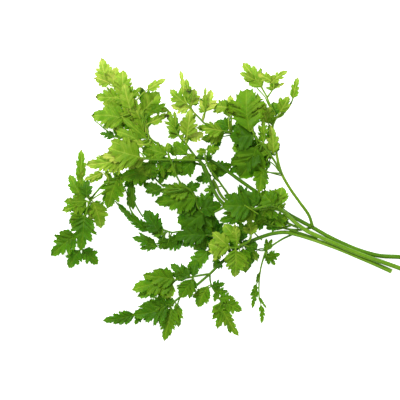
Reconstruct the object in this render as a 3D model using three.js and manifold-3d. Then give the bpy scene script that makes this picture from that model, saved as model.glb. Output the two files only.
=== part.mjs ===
// A bunch of chervil lying on a surface: three cut stalks, and the compound leaves (fronds) that grow on
// them. Each frond is one solid: its petiole, its twigs and its toothed leaflets, fused. In millimetres,
// with +Z up.

import * as THREE from "three";
import { mergeVertices } from "three/addons/utils/BufferGeometryUtils.js";
import Module from "manifold-3d";

// The plan is drawn on a sheet ruled in half millimetres: x runs right and y runs towards the near edge.
// Heights above the surface are in millimetres.
const GRID = 0.5;
const SHEET_CENTRE = [232.4, 199];

// Stalks
const STALK_SIDES = 8;
const STALK_RADIUS = 1.15;
const STALK_TIP_RADIUS = 0.8;

// Petioles and twigs
const PETIOLE_SIDES = 5;
const PETIOLE_RADIUS = 0.68;
const PETIOLE_TIP_RADIUS = 0.45;
const HALF_TWIG = 0.45;
const TWIG_BEND = 0.5;

// A twig longer than this is split once along its length
const LONG_TWIG = 3;

// Leaf blades: angles in degrees, and the arch as a share of the blade's length
const BLADE_THICKNESS = 0.7;
const MOST_ROLL = 15;
const FOLD = 9;
const FOLD_SPREAD = 7;
const ARCH = 0.07;
const ARCH_SPREAD = 0.04;

// Clear space kept where one solid ends against another
const GAP = 0.35;

// Edges shorter than this, which joining leaves, are closed up
const FINEST = 0.03;

// How many lobes each half of a blade has, and how deeply it is cut between them
const BROAD = { lobes: 3, cut: 0.34 };
const CUT = { lobes: 3, cut: 0.58 };
const SLIM = { lobes: 2, cut: 0.34 };

// Along a blade: its first lobe, the stretch that the lobes share, where in each share the notch falls, and
// the stretch of midrib that the lobes' veins start from
const FIRST_LOBE = 0.26;
const LOBE_STRETCH = 0.72;
const SINUS_AT = 0.36;
const FIRST_VEIN = 0.14;
const VEIN_STRETCH = 0.66;

// The outline that the lobes reach is a sine wave. Powers under 1 make it widest before its middle, and
// fuller.
const WIDEST_EARLY = 0.8;
const FULLNESS = 0.8;

const GREEN = 0x5f9a1e;
const DARK_GREEN = 0x3f7a14;
const STALK_GREEN = 0x7fae3a;

const UP = new THREE.Vector3(0, 0, 1);

// Each stalk's way over the sheet, from its cut end: x, y, height
const STALKS = {
  stalk_upper: [
    [412, 258.5, 0.95], [400, 257.3, 0.95], [380, 256, 0.95], [360, 250.5, 0.95], [340, 242, 1.1],
    [328, 236, 1.8], [313, 227.5, 3.2], [299, 220, 5], [287, 213, 6.8], [272, 201, 9], [258, 192, 10.5],
    [240, 180, 12.6], [225, 170, 14], [210, 160.5, 15.4], [197, 157.5, 16.5],
  ],
  stalk_middle: [
    [412, 273, 1.2], [400, 268.3, 2.1], [388, 264, 3.3], [370, 257.8, 3.4], [350, 250, 3.4],
    [334, 243, 3.6], [320, 237, 4.5], [308, 231.5, 6], [297, 224, 8], [290, 217.5, 9.6], [284, 212, 11],
    [274, 208.5, 12], [258, 209, 12.5], [242, 210.5, 13], [230, 208, 13.8], [220, 200.5, 15.5],
    [213, 189, 17.6], [208, 175, 19], [203, 165, 19.6], [198, 160, 20],
  ],
  stalk_lower: [
    [391, 270.7, 0.95], [378, 265, 0.95], [360, 257.5, 0.95], [342, 250, 0.95], [326, 244, 1.4],
    [310, 238.5, 2.4], [298, 235, 3.4], [286, 232.5, 4.8], [272, 234, 6.3], [258, 238, 7.6],
    [246, 243, 9.2], [236, 248.5, 10], [227, 257.5, 10], [216, 268, 8.8],
  ],
};

// Each frond: the stalk or frond that it grows from, its branches, and on each branch its leaflets. A
// branch's way is x, y, height. A leaflet is: the point of the branch that it grows from, the base of its
// blade, the tip of its blade, its width on the sheet and its kind.
const FRONDS = {
  frond_crown: {
    grows_from: ["stalk_upper"],
    colour: GREEN,
    branches: [
      {
        way: [
          [196, 157.3, 16.8], [186, 154.5, 17.2], [175, 154, 17.5], [166, 150, 17.5], [158, 144.5, 17.5],
          [150, 138, 17.5], [147, 129, 17.5], [144, 120, 17.5], [137, 112, 16.3], [128, 104, 13.5],
          [120, 94, 9.8], [114, 86, 6.8],
        ],
        leaflets: [
          [11, [112, 83, 6], [102, 58, 0.3], 22, BROAD],
          [10.6, [110, 86, 6.2], [95, 78, 3.5], 10, CUT],
          [10.8, [115, 84, 7.5], [118, 67, 5], 9, CUT],
          [9.1, [127, 102, 14.8], [124, 70, 11], 16, BROAD],
          [9.8, [117, 97, 9.5], [97, 97, 4], 18, BROAD],
          [8.1, [126, 115, 14.5], [93, 113, 6.5], 19, BROAD],
          [7.9, [135, 108, 18.6], [132, 86, 18], 14, BROAD],
          [7.1, [144, 113, 16.6], [157, 94, 13.5], 19, BROAD],
          [6.8, [148, 92, 20.5], [166, 80, 17], 9, SLIM],
          [6.6, [153, 112, 19], [167, 104, 16.5], 8, SLIM],
          [6.3, [151, 122, 17.5], [167, 116, 13], 8, SLIM],
          [7.7, [125, 122, 12], [115, 131, 8.5], 10, SLIM],
          [6, [118, 137, 10], [99, 133, 6], 7, SLIM],
          [5, [139, 142, 19.5], [116, 131, 14], 14, BROAD],
          [6, [140, 131, 11.5], [128, 114, 8.5], 14, BROAD],
        ],
      },
    ],
  },
  frond_top: {
    grows_from: ["stalk_upper"],
    colour: GREEN,
    branches: [
      {
        way: [
          [196, 157.8, 18.6], [190, 150, 19], [186, 144.5, 19.5], [181, 139, 19.5], [177, 133, 19],
          [174, 127, 18.5],
        ],
        leaflets: [
          [4, [176, 132, 18.5], [168, 110, 13], 13, CUT],
          [5, [176, 125, 19.5], [177, 112, 18], 6, SLIM],
          [3, [184, 138, 20.5], [190, 111, 19.5], 17, BROAD],
          [2, [189, 141, 18.5], [200, 131, 15], 12, BROAD],
        ],
      },
    ],
  },
  frond_top_middle: {
    grows_from: ["frond_upper_right"],
    colour: DARK_GREEN,
    branches: [
      {
        way: [
          [275, 155, 9.5], [264, 150, 8], [254, 145, 8], [243, 139, 9], [232, 132.5, 12], [222, 131, 13.5],
          [213, 128, 14.5], [205, 124, 15], [199, 118, 15.5], [192, 111, 15],
        ],
        leaflets: [
          [9, [188, 109, 14.6], [170, 96, 9], 20, CUT],
          [9, [185, 101, 16.8], [180, 70, 9], 5, SLIM],
          [8.7, [189, 102, 17.5], [187, 80, 13.5], 6, SLIM],
          [8.4, [193, 107, 14.5], [195, 90, 9], 11, BROAD],
          [7, [204, 113, 16], [206, 88, 10], 14, CUT],
          [4.6, [228, 116, 15], [232, 97, 11], 11, CUT],
          [5, [226, 114, 17], [210, 105, 13], 11, BROAD],
          [5.2, [220, 131, 15.2], [196, 130, 12], 13, BROAD],
          [4.2, [230, 128, 12.5], [213, 119, 9.5], 14, BROAD],
          [3.9, [226, 136, 10.6], [202, 140, 6.5], 13, BROAD],
          [3.5, [224, 141, 7.5], [212, 156, 3.5], 9, CUT],
        ],
      },
    ],
  },
  frond_upper_right: {
    grows_from: ["stalk_upper"],
    colour: GREEN,
    branches: [
      {
        way: [
          [313, 226.5, 4], [309, 215, 5], [300, 202.5, 6.6], [290, 188.5, 8.2], [282, 174.5, 9.8],
          [279, 166, 10.8], [277, 157, 11.6], [275.5, 148, 12], [274, 138, 12], [272.5, 127, 10.8],
          [275, 120, 9.8], [277, 117, 9.2],
        ],
        leaflets: [
          [11, [283, 112, 10.2], [285, 96, 9], 13, BROAD],
          [10.8, [291, 102, 5.5], [299, 76, 0.3], 8, SLIM],
          [10.6, [275, 113, 6.5], [271, 101, 3.5], 14, BROAD],
          [10.4, [261, 91, 5], [242, 66, 0.3], 18, BROAD],
          [11, [273, 90, 7.5], [287, 73, 4.5], 16, CUT],
          [9, [267, 125, 12.5], [260, 101, 9], 15, BROAD],
          [7, [271, 148, 13.5], [274, 126, 14], 12, BROAD],
        ],
      },
    ],
  },
  frond_upper_big: {
    grows_from: ["frond_upper_right"],
    colour: DARK_GREEN,
    branches: [
      {
        way: [
          [281, 173.5, 10.8], [276, 164, 13.5], [270, 155, 15.8], [262, 144.5, 17.5], [256, 138, 18.5],
          [252, 131, 19],
        ],
        leaflets: [
          [5, [251, 127, 19.5], [246, 89, 15], 29, BROAD],
          [5, [252, 134, 16.5], [230, 137, 12.5], 22, BROAD],
          [3, [260, 147, 15.5], [238, 174, 9], 28, BROAD],
          [2, [265, 151, 13], [254, 168, 6.5], 17, BROAD],
          [3, [262, 137, 18.5], [264, 117, 17], 15, BROAD],
          [0.3, [263, 171, 10.5], [260, 193, 17.5], 14, BROAD],
        ],
      },
    ],
  },
  frond_bright_left: {
    grows_from: ["stalk_middle"],
    colour: GREEN,
    branches: [
      {
        way: [
          [199, 160.6, 20.3], [188, 160, 21], [178, 160.5, 21], [168, 160, 21], [160, 160, 21],
          [152, 160, 21.5], [145, 158.5, 22.5],
        ],
        leaflets: [
          [3, [167, 155, 20.5], [143, 148, 16.5], 15, BROAD],
          [1, [186, 155, 21], [174, 142, 17], 13, BROAD],
          [1, [192, 163, 19.5], [178, 177, 15.5], 17, BROAD],
          [6, [141, 157, 24], [108, 148, 18], 28, BROAD],
          [6, [138, 161, 21.5], [86, 165, 10], 19, CUT],
          [5, [146, 164, 20], [121, 175, 17.6], 12, BROAD],
        ],
      },
    ],
  },
  frond_left: {
    grows_from: ["stalk_middle"],
    colour: DARK_GREEN,
    branches: [
      {
        way: [
          [204, 168, 17.6], [188, 167, 14.5], [172, 167, 13], [158, 168, 12.3], [145, 172, 12],
          [132, 176, 12], [118, 180, 12], [104, 187, 11.5], [97, 193, 11], [91, 199.5, 10.5],
          [87.5, 208, 9.5], [85.5, 216, 8.8], [83, 232, 6.5], [80, 247, 4.5],
        ],
        leaflets: [
          [9, [80, 173, 7.5], [82, 149, 2.5], 9, CUT],
          [9.3, [79, 190, 7.5], [71, 175, 3.5], 9, SLIM],
          [8.6, [88, 192, 12.3], [90, 178, 11], 11, CUT],
          [9.7, [84, 201, 9], [62, 211, 3], 15, CUT],
          [10, [83, 210, 7.5], [70, 224, 2], 10, CUT],
          [9.1, [92, 204, 9.5], [101, 228, 3], 17, BROAD],
          [11, [85, 217, 10.5], [81, 250, 8], 22, BROAD],
          [12, [77, 237, 5], [52, 256, 0.3], 19, BROAD],
          [13, [80, 250, 4], [69, 268, 0.3], 14, BROAD],
          [13, [82, 250, 4.5], [98, 265, 0.6], 16, BROAD],
          [6, [121, 178, 13.5], [107, 206, 6], 22, BROAD],
          [4, [147, 171, 14.5], [121, 177, 15], 18, BROAD],
          [7, [104, 177, 13], [89, 181, 10], 8, CUT],
          [5, [134, 184, 10], [133, 208, 4], 10, BROAD],
          [3, [157, 167, 15], [152, 184, 15], 13, BROAD],
          [2, [170, 170, 11], [163, 183, 12.5], 14, BROAD],
        ],
      },
    ],
  },
  frond_centre: {
    grows_from: ["stalk_middle"],
    colour: DARK_GREEN,
    branches: [
      {
        way: [
          [226, 206, 13], [214, 212, 11], [204, 213, 10.5], [198, 207, 10.5], [195.5, 198, 12],
          [190, 190, 14], [183.5, 186, 16], [178, 179, 18.5], [174, 168, 21.5], [170, 158, 23.5],
          [167.5, 150, 23.5],
        ],
        leaflets: [
          [4, [194, 197, 12.5], [156, 201, 7], 26, BROAD],
          [3, [199, 207, 11.5], [212, 193, 9.5], 16, BROAD],
          [2, [200, 212, 8.5], [177, 227, 4], 22, BROAD],
          [1, [216, 214, 9], [204, 226, 6.6], 15, BROAD],
          [10, [168, 151, 23.3], [169, 142, 22.5], 7, SLIM],
          [5, [161, 188, 12.5], [146, 192, 9.5], 11, CUT],
        ],
      },
    ],
  },
  frond_small_top: {
    grows_from: ["stalk_middle"],
    colour: GREEN,
    branches: [
      {
        way: [
          [230, 207, 12.6], [230, 200, 12], [228, 194, 12.2], [222, 186.5, 14], [215, 176.5, 16.6],
          [209.5, 167, 19.5], [206.5, 160, 22], [205, 153, 22.5],
        ],
        leaflets: [
          [7, [204, 151.5, 22.5], [195, 151, 20.5], 6, SLIM],
          [7, [207, 151, 22.5], [220, 149, 20], 8, CUT],
          [2.8, [222, 190, 12.6], [220, 200, 10.5], 9, CUT],
          [3, [215, 185, 12.3], [204, 186, 9.5], 9, CUT],
          [4, [211, 174, 14], [193, 184, 9.5], 14, BROAD],
          [3.8, [218, 173, 10.5], [230, 163, 8.5], 14, BROAD],
        ],
      },
    ],
  },
  frond_lower_middle: {
    grows_from: ["stalk_lower"],
    colour: DARK_GREEN,
    branches: [
      {
        way: [
          [238, 246.5, 8.4], [228, 240, 7], [218, 237, 6.8], [208, 236, 6.8], [198, 235, 6.6],
          [188, 233, 6.4], [180, 231.5, 6.2], [172, 232.5, 6], [165, 230.5, 6], [160, 229, 6],
        ],
        leaflets: [
          [3, [206, 235, 8.6], [172, 236, 5], 17, BROAD],
          [3, [207, 239, 6.5], [196, 252, 3], 15, BROAD],
          [5, [180, 240, 3.8], [159, 247, 2], 11, BROAD],
          [8, [157, 244, 2.6], [131, 235, 1], 13, CUT],
          [9, [160, 232, 6.6], [145, 210, 2.5], 19, BROAD],
          [8.6, [153, 232, 4], [116, 203, 1.5], 11, CUT],
          [1, [214, 251, 5.5], [189, 270, 2.5], 19, BROAD],
          [2, [219, 236, 5.6], [213, 217, 2.5], 15, BROAD],
        ],
      },
    ],
  },
  frond_right: {
    grows_from: ["stalk_middle", "stalk_upper"],
    colour: GREEN,
    branches: [
      {
        way: [
          [284, 212, 12.6], [278, 207.5, 14.2], [270, 205.5, 15.2], [262, 207, 15.8], [254, 208.5, 16.3],
          [247, 206.5, 17],
        ],
        leaflets: [
          [1, [279, 206, 15], [284, 187, 14], 20, CUT],
          [2, [272, 204, 16], [256, 192, 13.5], 18, CUT],
          [5, [246, 206, 17.5], [222, 204, 16.5], 29, BROAD],
          [4, [257, 203, 14.5], [240, 187, 14.5], 17, BROAD],
        ],
      },
    ],
  },
  frond_under: {
    grows_from: ["stalk_upper"],
    colour: DARK_GREEN,
    branches: [
      {
        way: [
          [311.5, 228, 2.6], [300, 230, 3.2], [290, 229.5, 4.4], [281, 227.5, 6], [272, 225, 7.4],
          [264, 222, 8.4],
        ],
        leaflets: [
          [4, [272, 221, 8.6], [289, 219, 7], 15, BROAD],
          [5, [264, 220, 9], [250, 213, 8], 15, BROAD],
          [5, [263, 226, 7], [250, 225, 4.5], 12, BROAD],
        ],
      },
    ],
  },
  frond_near_bright: {
    grows_from: ["stalk_lower"],
    colour: GREEN,
    branches: [
      {
        way: [[247, 242.6, 10.8], [241, 245, 12.6], [236, 247.5, 13.6], [231, 247.5, 14]],
        leaflets: [
          [3, [229, 247, 14.5], [208, 240, 12], 25, CUT],
          [3, [226, 249.5, 13.5], [218, 262, 11.6], 10, CUT],
          [1, [238, 242, 14.2], [225, 223, 12], 16, CUT],
          [2, [237, 250, 14], [237, 277, 8], 23, BROAD],
          [1, [243, 249, 11], [247, 272, 5.5], 13, BROAD],
          [0, [254, 234, 11], [244, 222, 9], 13, BROAD],
        ],
      },
    ],
  },
  frond_sprig: {
    grows_from: ["stalk_lower"],
    colour: GREEN,
    branches: [
      {
        way: [
          [293, 234, 3.2], [283, 238.5, 2.8], [275, 243.5, 2.8], [267, 249.5, 3], [264, 258, 2.8],
          [261, 267, 2.5], [259, 277, 2.2], [258.8, 288, 2], [259, 300, 1.8],
        ],
        leaflets: [
          [3, [267.5, 247.5, 3.9], [270.5, 239, 3.2], 9, CUT],
          [3, [268, 251.5, 3.4], [278, 258, 2.4], 13, CUT],
          [4, [266, 256, 3], [269, 267, 1.5], 7, SLIM],
          [3, [257, 249.5, 3.8], [243, 241, 3.5], 13, BROAD],
          [3, [256.5, 252, 3.2], [250, 268, 1.5], 12, CUT],
          [6, [255.5, 284, 2], [250, 295, 1], 5.5, SLIM],
          [7, [256.5, 292, 1.8], [252, 308, 1], 5.5, SLIM],
          [8, [260, 305, 1.7], [261, 323, 0.5], 6.5, SLIM],
          [8, [261.5, 301, 1.6], [266, 309, 1], 3.6, SLIM],
        ],
      },
    ],
  },
  frond_near_left: {
    grows_from: ["stalk_lower"],
    colour: DARK_GREEN,
    branches: [
      {
        way: [
          [217, 267, 8.7], [210, 274, 8], [203, 280, 7.4], [196, 286, 6.8], [188.5, 292, 6.2],
          [181, 297.5, 5.5], [174, 304, 4.8], [170, 308, 4.4],
        ],
        leaflets: [
          [7, [167, 309, 4.8], [134, 314, 3.2], 21, BROAD],
          [6.7, [134, 315, 1.2], [103, 320, 0.4], 12, CUT],
          [7, [170, 311, 3.6], [163, 340, 0.3], 15, CUT],
          [5, [178, 307, 4], [179, 327, 0.8], 9, CUT],
          [0, [222, 263, 6.2], [213, 268, 4], 9, SLIM],
        ],
      },
      {
        way: [[210, 274, 8], [200, 275.5, 8.6], [190, 277.5, 8.6], [182, 279, 8.2], [175, 280.5, 8]],
        leaflets: [
          [3.6, [172, 277.5, 9.4], [144, 272, 8], 15, BROAD],
          [4, [171, 283, 7.2], [132, 290, 2.5], 18, CUT],
          [3.8, [172, 286, 5.8], [156, 302, 2.2], 17, BROAD],
          [2, [186, 276.5, 9], [170, 264, 5.5], 13, CUT],
          [2, [194, 279.5, 9], [181, 298, 8], 18, CUT],
        ],
      },
      {
        way: [
          [210, 274, 8], [210.2, 280, 7.4], [211.5, 285.5, 7], [215, 292, 6.4], [220, 300, 5.8],
          [225, 307, 5.2], [228, 311.5, 4.8],
        ],
        leaflets: [
          [2, [209, 288, 6.8], [199, 307, 3], 16, CUT],
          [2, [213, 285.5, 7.4], [225, 282, 6], 9, CUT],
          [3, [217, 293, 6.6], [229, 292, 5], 9, CUT],
          [3.7, [221, 299, 6], [235, 299, 4.4], 9, CUT],
          [5, [226, 305.5, 5.4], [242, 312, 3], 13, CUT],
          [4.3, [220, 304, 4.6], [219, 329, 0.6], 16, CUT],
          [6, [228.5, 312, 4.6], [239, 336, 0.4], 13, CUT],
        ],
      },
    ],
  },
};

const wasm = await Module();
wasm.setup();

function onSheet([x, y, height]) {
  return new THREE.Vector3((x - SHEET_CENTRE[0]) * GRID, (SHEET_CENTRE[1] - y) * GRID, height);
}

// A repeatable number from -1 to 1 for each place on the sheet
function spread(x, y) {
  const wave = Math.sin(x * 12.9898 + y * 78.233) * 43758.5453;
  return 2 * (wave - Math.floor(wave)) - 1;
}

function toSolid(geometry) {
  const bare = geometry.clone();
  bare.deleteAttribute("normal");
  bare.deleteAttribute("uv");
  const merged = mergeVertices(bare, 1e-4);
  return new wasm.Manifold(
    new wasm.Mesh({
      numProp: 3,
      vertProperties: new Float32Array(merged.attributes.position.array),
      triVerts: new Uint32Array(merged.index.array),
    }),
  );
}

function toGeometry(solid) {
  const mesh = solid.getMesh();
  const geometry = new THREE.BufferGeometry();
  geometry.setAttribute("position", new THREE.BufferAttribute(mesh.vertProperties, 3));
  geometry.setIndex(new THREE.BufferAttribute(mesh.triVerts, 1));
  geometry.computeVertexNormals();
  return geometry;
}

// A closed cylinder laid along a curve, thinning from one end to the other
function rod(curve, startRadius, endRadius, sides, steps) {
  const geometry = new THREE.CylinderGeometry(1, 1, 1, sides, steps);
  const frames = curve.computeFrenetFrames(steps, false);
  const centres = curve.getSpacedPoints(steps);
  const position = geometry.attributes.position;
  for (let i = 0; i < position.count; i++) {
    const along = position.getY(i) + 0.5;
    const step = Math.round(along * steps);
    const radius = THREE.MathUtils.lerp(startRadius, endRadius, along);
    const point = centres[step]
      .clone()
      .addScaledVector(frames.binormals[step], position.getX(i) * radius)
      .addScaledVector(frames.normals[step], position.getZ(i) * radius);
    position.setXYZ(i, point.x, point.y, point.z);
  }
  return toSolid(geometry);
}

// How far a blade's lobes reach, as a share of its half width, at a share of its length
function reach(along) {
  return Math.sin(Math.PI * along ** WIDEST_EARLY) ** FULLNESS;
}

// One side of a blade's margin from base to tip: share of the length, share of the half width, vein that it
// hangs on
function marginOf({ lobes, cut }) {
  const rows = [];
  for (let lobe = 0; lobe < lobes; lobe++) {
    const tip = FIRST_LOBE + (LOBE_STRETCH * lobe) / lobes;
    const sinus = tip + (SINUS_AT * LOBE_STRETCH) / lobes;
    rows.push([tip, reach(tip), lobe + 1], [sinus, (1 - cut) * reach(sinus), lobe + 1]);
  }
  return rows;
}

// The places on the midrib where the veins of the lobes start
function veinRoots({ lobes }) {
  return Array.from({ length: lobes }, (_, lobe) => FIRST_VEIN + (VEIN_STRETCH * lobe) / lobes);
}

// A leaflet's outline and its midrib, flat: places along it from -1 at the root of its twig, over 0 at the
// base of the blade, to 1 at the tip, with their distance out to the side. The faces join them by number.
function flatLeaflet(kind, halfWidth, twigPlaces) {
  const flat = veinRoots(kind).map((along) => [along, 0]);
  const tip = flat.push([1, 0]) - 1;
  const faces = [];
  const edges = [];
  for (const side of [1, -1]) {
    const add = (a, b, c) => faces.push(side > 0 ? [a, b, c] : [a, c, b]);
    const twig = twigPlaces.map((along) => flat.push([along, side * HALF_TWIG]) - 1);
    const margin = marginOf(kind).map(([along, out]) => flat.push([along, side * out * halfWidth]) - 1);
    const hangsOn = marginOf(kind).map((row) => row[2] - 1);
    let before = twig.at(-1);
    let vein = 0;
    margin.forEach((here, i) => {
      if (hangsOn[i] !== vein) add(vein, hangsOn[i], before);
      vein = hangsOn[i];
      add(vein, here, before);
      before = here;
    });
    add(vein, tip, before);
    const edge = [...twig, ...margin, tip];
    edges.push(...edge.slice(1).map((to, i) => (side > 0 ? [to, edge[i]] : [edge[i], to])));
  }
  const twigSteps = twigPlaces.length - 1;
  const left = tip + 1;
  const right = left + twigPlaces.length + marginOf(kind).length;
  for (let step = 0; step < twigSteps; step++) {
    faces.push([right + step, right + step + 1, left + step + 1]);
    faces.push([right + step, left + step + 1, left + step]);
  }
  faces.push([right + twigSteps, 0, left + twigSteps]);
  edges.push([left, right]);
  return { flat, faces, edges };
}

// A leaflet on its twig, as one thin solid: both faces are split alike and joined along their edges
function leaflet(way, [from, baseRow, tipRow, width, kind]) {
  const base = onSheet(baseRow);
  const chord = onSheet(tipRow).sub(base);
  const length = chord.length();
  const ahead = chord.clone().normalize();
  const root = way.getPoint(from / (way.points.length - 1));
  const turn = base.clone().addScaledVector(ahead, -TWIG_BEND * root.distanceTo(base));
  const stem = new THREE.QuadraticBezierCurve3(root, turn, base);
  const roll = THREE.MathUtils.degToRad(MOST_ROLL * spread(baseRow[0], baseRow[1]));
  const fold = THREE.MathUtils.degToRad(FOLD + FOLD_SPREAD * spread(tipRow[0], baseRow[1]));
  const arch = ARCH + ARCH_SPREAD * spread(tipRow[0], tipRow[1]);
  const twigPlaces = root.distanceTo(base) > LONG_TWIG ? [-1, -0.5, 0] : [-1, 0];
  const { flat, faces, edges } = flatLeaflet(kind, (width * GRID) / 2, twigPlaces);

  const place = ([along, out], lift) => {
    const onBlade = along > 0;
    const direction = onBlade ? ahead : stem.getTangent(1 + along);
    const tilt = roll * Math.min(1, 1 + along);
    const across = UP.clone().cross(direction).normalize().applyAxisAngle(direction, tilt);
    const above = direction.clone().cross(across);
    const rise = onBlade ? arch * length * Math.sin(Math.PI * along) + Math.abs(out) * Math.tan(fold) : 0;
    const middle = onBlade ? base.clone().addScaledVector(chord, along) : stem.getPoint(1 + along);
    return middle.addScaledVector(across, out).addScaledVector(above, rise + lift);
  };
  const upper = flat.map((point) => place(point, BLADE_THICKNESS / 2));
  const lower = flat.map((point) => place(point, -BLADE_THICKNESS / 2));
  const count = flat.length;
  const index = faces.flatMap(([a, b, c]) => [a, b, c, a + count, c + count, b + count]);
  for (const [from, to] of edges) index.push(from, from + count, to, to, from + count, to + count);
  const geometry = new THREE.BufferGeometry().setFromPoints([...upper, ...lower]);
  geometry.setIndex(index);
  return toSolid(geometry);
}

function join(solids) {
  return solids.reduce((whole, next) => whole.add(next));
}

function curveOf(way) {
  return new THREE.CatmullRomCurve3(way.map(onSheet), false, "centripetal");
}

function stalk(way, extra = 0) {
  return rod(curveOf(way), STALK_RADIUS + extra, STALK_TIP_RADIUS + extra, STALK_SIDES, way.length + 3);
}

function petioleOf(way, extra = 0) {
  return rod(curveOf(way), PETIOLE_RADIUS + extra, PETIOLE_TIP_RADIUS + extra, PETIOLE_SIDES, way.length);
}

function frond({ branches }) {
  return join(
    branches.flatMap(({ way, leaflets }) => {
      const curve = curveOf(way);
      return [petioleOf(way), ...leaflets.map((row) => leaflet(curve, row))];
    }),
  );
}

// What a frond must keep clear of where it grows from its stalk or its neighbour
function keepClear(name) {
  return name in STALKS ? stalk(STALKS[name], GAP) : petioleOf(FRONDS[name].branches[0].way, GAP);
}

// The solid without loose scraps, and with the small hollows that joining sealed filled
function largestPiece(solid) {
  return solid.decompose().reduce((best, piece) => (piece.volume() > best.volume() ? piece : best));
}

// Everything below the surface that the bunch lies on
const belowSurface = toSolid(new THREE.BoxGeometry(400, 400, 20).translate(0, 0, -10));

function meshOf(name, solid, colour) {
  const material = new THREE.MeshStandardMaterial({ color: colour, roughness: 0.55, metalness: 0 });
  const clean = largestPiece(solid.subtract(belowSurface).simplify(FINEST));
  const mesh = new THREE.Mesh(toGeometry(clean), material);
  mesh.name = name;
  return mesh;
}

const bunch = new THREE.Group();
bunch.name = "chervil_bunch";
for (const [name, way] of Object.entries(STALKS)) bunch.add(meshOf(name, stalk(way), STALK_GREEN));
for (const [name, row] of Object.entries(FRONDS)) {
  const cutBack = row.grows_from.reduce((solid, parent) => solid.subtract(keepClear(parent)), frond(row));
  bunch.add(meshOf(name, cutBack, row.colour));
}

export default bunch;
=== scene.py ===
import math
from collections import namedtuple

import bpy
import numpy as np
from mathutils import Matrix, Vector


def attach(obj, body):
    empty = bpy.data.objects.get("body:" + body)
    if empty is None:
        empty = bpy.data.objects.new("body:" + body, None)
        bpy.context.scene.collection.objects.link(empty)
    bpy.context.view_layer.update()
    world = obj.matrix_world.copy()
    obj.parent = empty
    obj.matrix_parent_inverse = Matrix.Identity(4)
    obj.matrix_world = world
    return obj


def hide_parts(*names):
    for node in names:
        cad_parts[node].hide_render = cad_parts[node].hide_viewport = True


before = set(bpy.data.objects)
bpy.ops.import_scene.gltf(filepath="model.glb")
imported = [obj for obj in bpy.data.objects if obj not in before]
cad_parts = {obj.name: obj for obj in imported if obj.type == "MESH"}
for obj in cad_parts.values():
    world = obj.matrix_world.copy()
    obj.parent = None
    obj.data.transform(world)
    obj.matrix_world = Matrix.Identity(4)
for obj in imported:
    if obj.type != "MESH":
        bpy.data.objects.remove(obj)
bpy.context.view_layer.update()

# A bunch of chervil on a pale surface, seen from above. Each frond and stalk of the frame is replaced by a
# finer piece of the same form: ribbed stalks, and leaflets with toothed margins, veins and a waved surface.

MM = 0.001

# The plan is drawn on a sheet ruled in half millimetres: x runs right and y runs towards the near edge
GRID = 0.5
SHEET_CENTRE = (232.4, 199)
VIEW_CENTRE = (200, 200)
VIEW_WIDTH = 400

# Stalks, petioles, twigs and strands: radii in millimetres, the height of ribs as a share of the radius,
# sides, and steps between two points of a way
STALK_RADIUS = 1.15
STALK_TIP_RADIUS = 0.8
STALK_RIB = 0.045
STALK_SIDES = 42
STALK_STEPS = 8
PETIOLE_RADIUS = 0.62
PETIOLE_TIP_RADIUS = 0.42
PETIOLE_RIB = 0.05
PETIOLE_SIDES = 14
PETIOLE_STEPS = 6
TWIG_RADIUS = 0.4
TWIG_TIP_RADIUS = 0.22
TWIG_SIDES = 8
TWIG_STEPS = 6
STRAND_SIDES = 10
STRAND_STEPS = 8
RIBS = 7

# The last ring of a rod's end as a share of its radius, and a cut end's rings from the skin inwards: a share
# of the radius, and how far the ring is sunk in millimetres
END_RING = 0.1
CUT_RINGS = ((0.93, -0.05), (0.7, 0.1), (0.45, 0.25), (0.12, 0.6))

# A twig bends over a share of its length, but over no more than so many millimetres. It ends a little way
# along its blade, below the surface at one of the blade's rows.
TWIG_BEND = 0.5
LONGEST_BEND = 4
TWIG_REACH = 0.06
TWIG_ROW = 2
TWIG_SUNK = 0.1

# Leaf blades: millimetres, degrees, and the arch as a share of the blade's length. Before it is cut into
# lobes, a blade is wider than its leaflet's row says, by the last of these.
BLADE_THICKNESS = 0.26
MARGIN_THICKNESS = 0.1
MIDRIB_RELIEF = 0.2
MIDRIB_HALF = 0.35
MIDRIB_TAPER = 0.7
BASE_HALF = 0.2
TIP_HALF = 0.04
LEAST_HALF = 0.06
MOST_ROLL = 15
FOLD = 9
FOLD_SPREAD = 7
ARCH = 0.07
ARCH_SPREAD = 0.04
BLADE_SPREAD = 1.38

# Lobes: where the tips of the first and the last lie, as shares of the widest place and of the length, how
# far each varies along the blade and sideways, and where the notch after it lies in the gap between two
FIRST_LOBE = 0.8
LAST_LOBE = 0.84
LOBE_SHIFT = 0.15
LOBE_SPREAD = 0.1
NOTCH_PLACE = 0.4
NOTCH_LEAN = 0.8

# Cuts between the lobes, as shares of the kind's cut: the first, how much less each next one is, and how much
# they vary
FIRST_CUT = 1.1
CUT_STEP = 0.1
CUT_SPREAD = 0.2
DEEPEST_CUT = 0.85

# Side veins: one that ends at a share of the length leaves the midrib at LAST_VEIN times that share to the
# power of VEIN_BEND, and the tip's own row at TIP_VEIN. VEIN_CURVE bends each of them.
LAST_VEIN = 0.95
TIP_VEIN = 0.97
VEIN_BEND = 2.2
VEIN_CURVE = 0.9

# The relief of a blade: its largest size in millimetres and as a share of the half width, the heights of its
# quilting, waves and curled margin for a relief of one millimetre, and its bow as a share of the length
MOST_RELIEF = 1.5
RELIEF_SHARE = 0.2
QUILT = 0.24
QUILT_REACH = 1.05
WAVE = 0.42
WAVE_APART = 2.2
CURL = 0.5
CURL_SPREAD = 0.4
BOW = 0.05

# How the lightness of a blade varies: between blades, from base to tip, and from midrib to margin. The
# lighter tip and margin and the darker base and middle are painted light and shade.
TONE_SPREAD = 0.05
TONE_ALONG = 0.16
TONE_ALONG_MIDDLE = 0.45
TONE_ACROSS = 0.05
TONE_ACROSS_MIDDLE = 0.5

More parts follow.
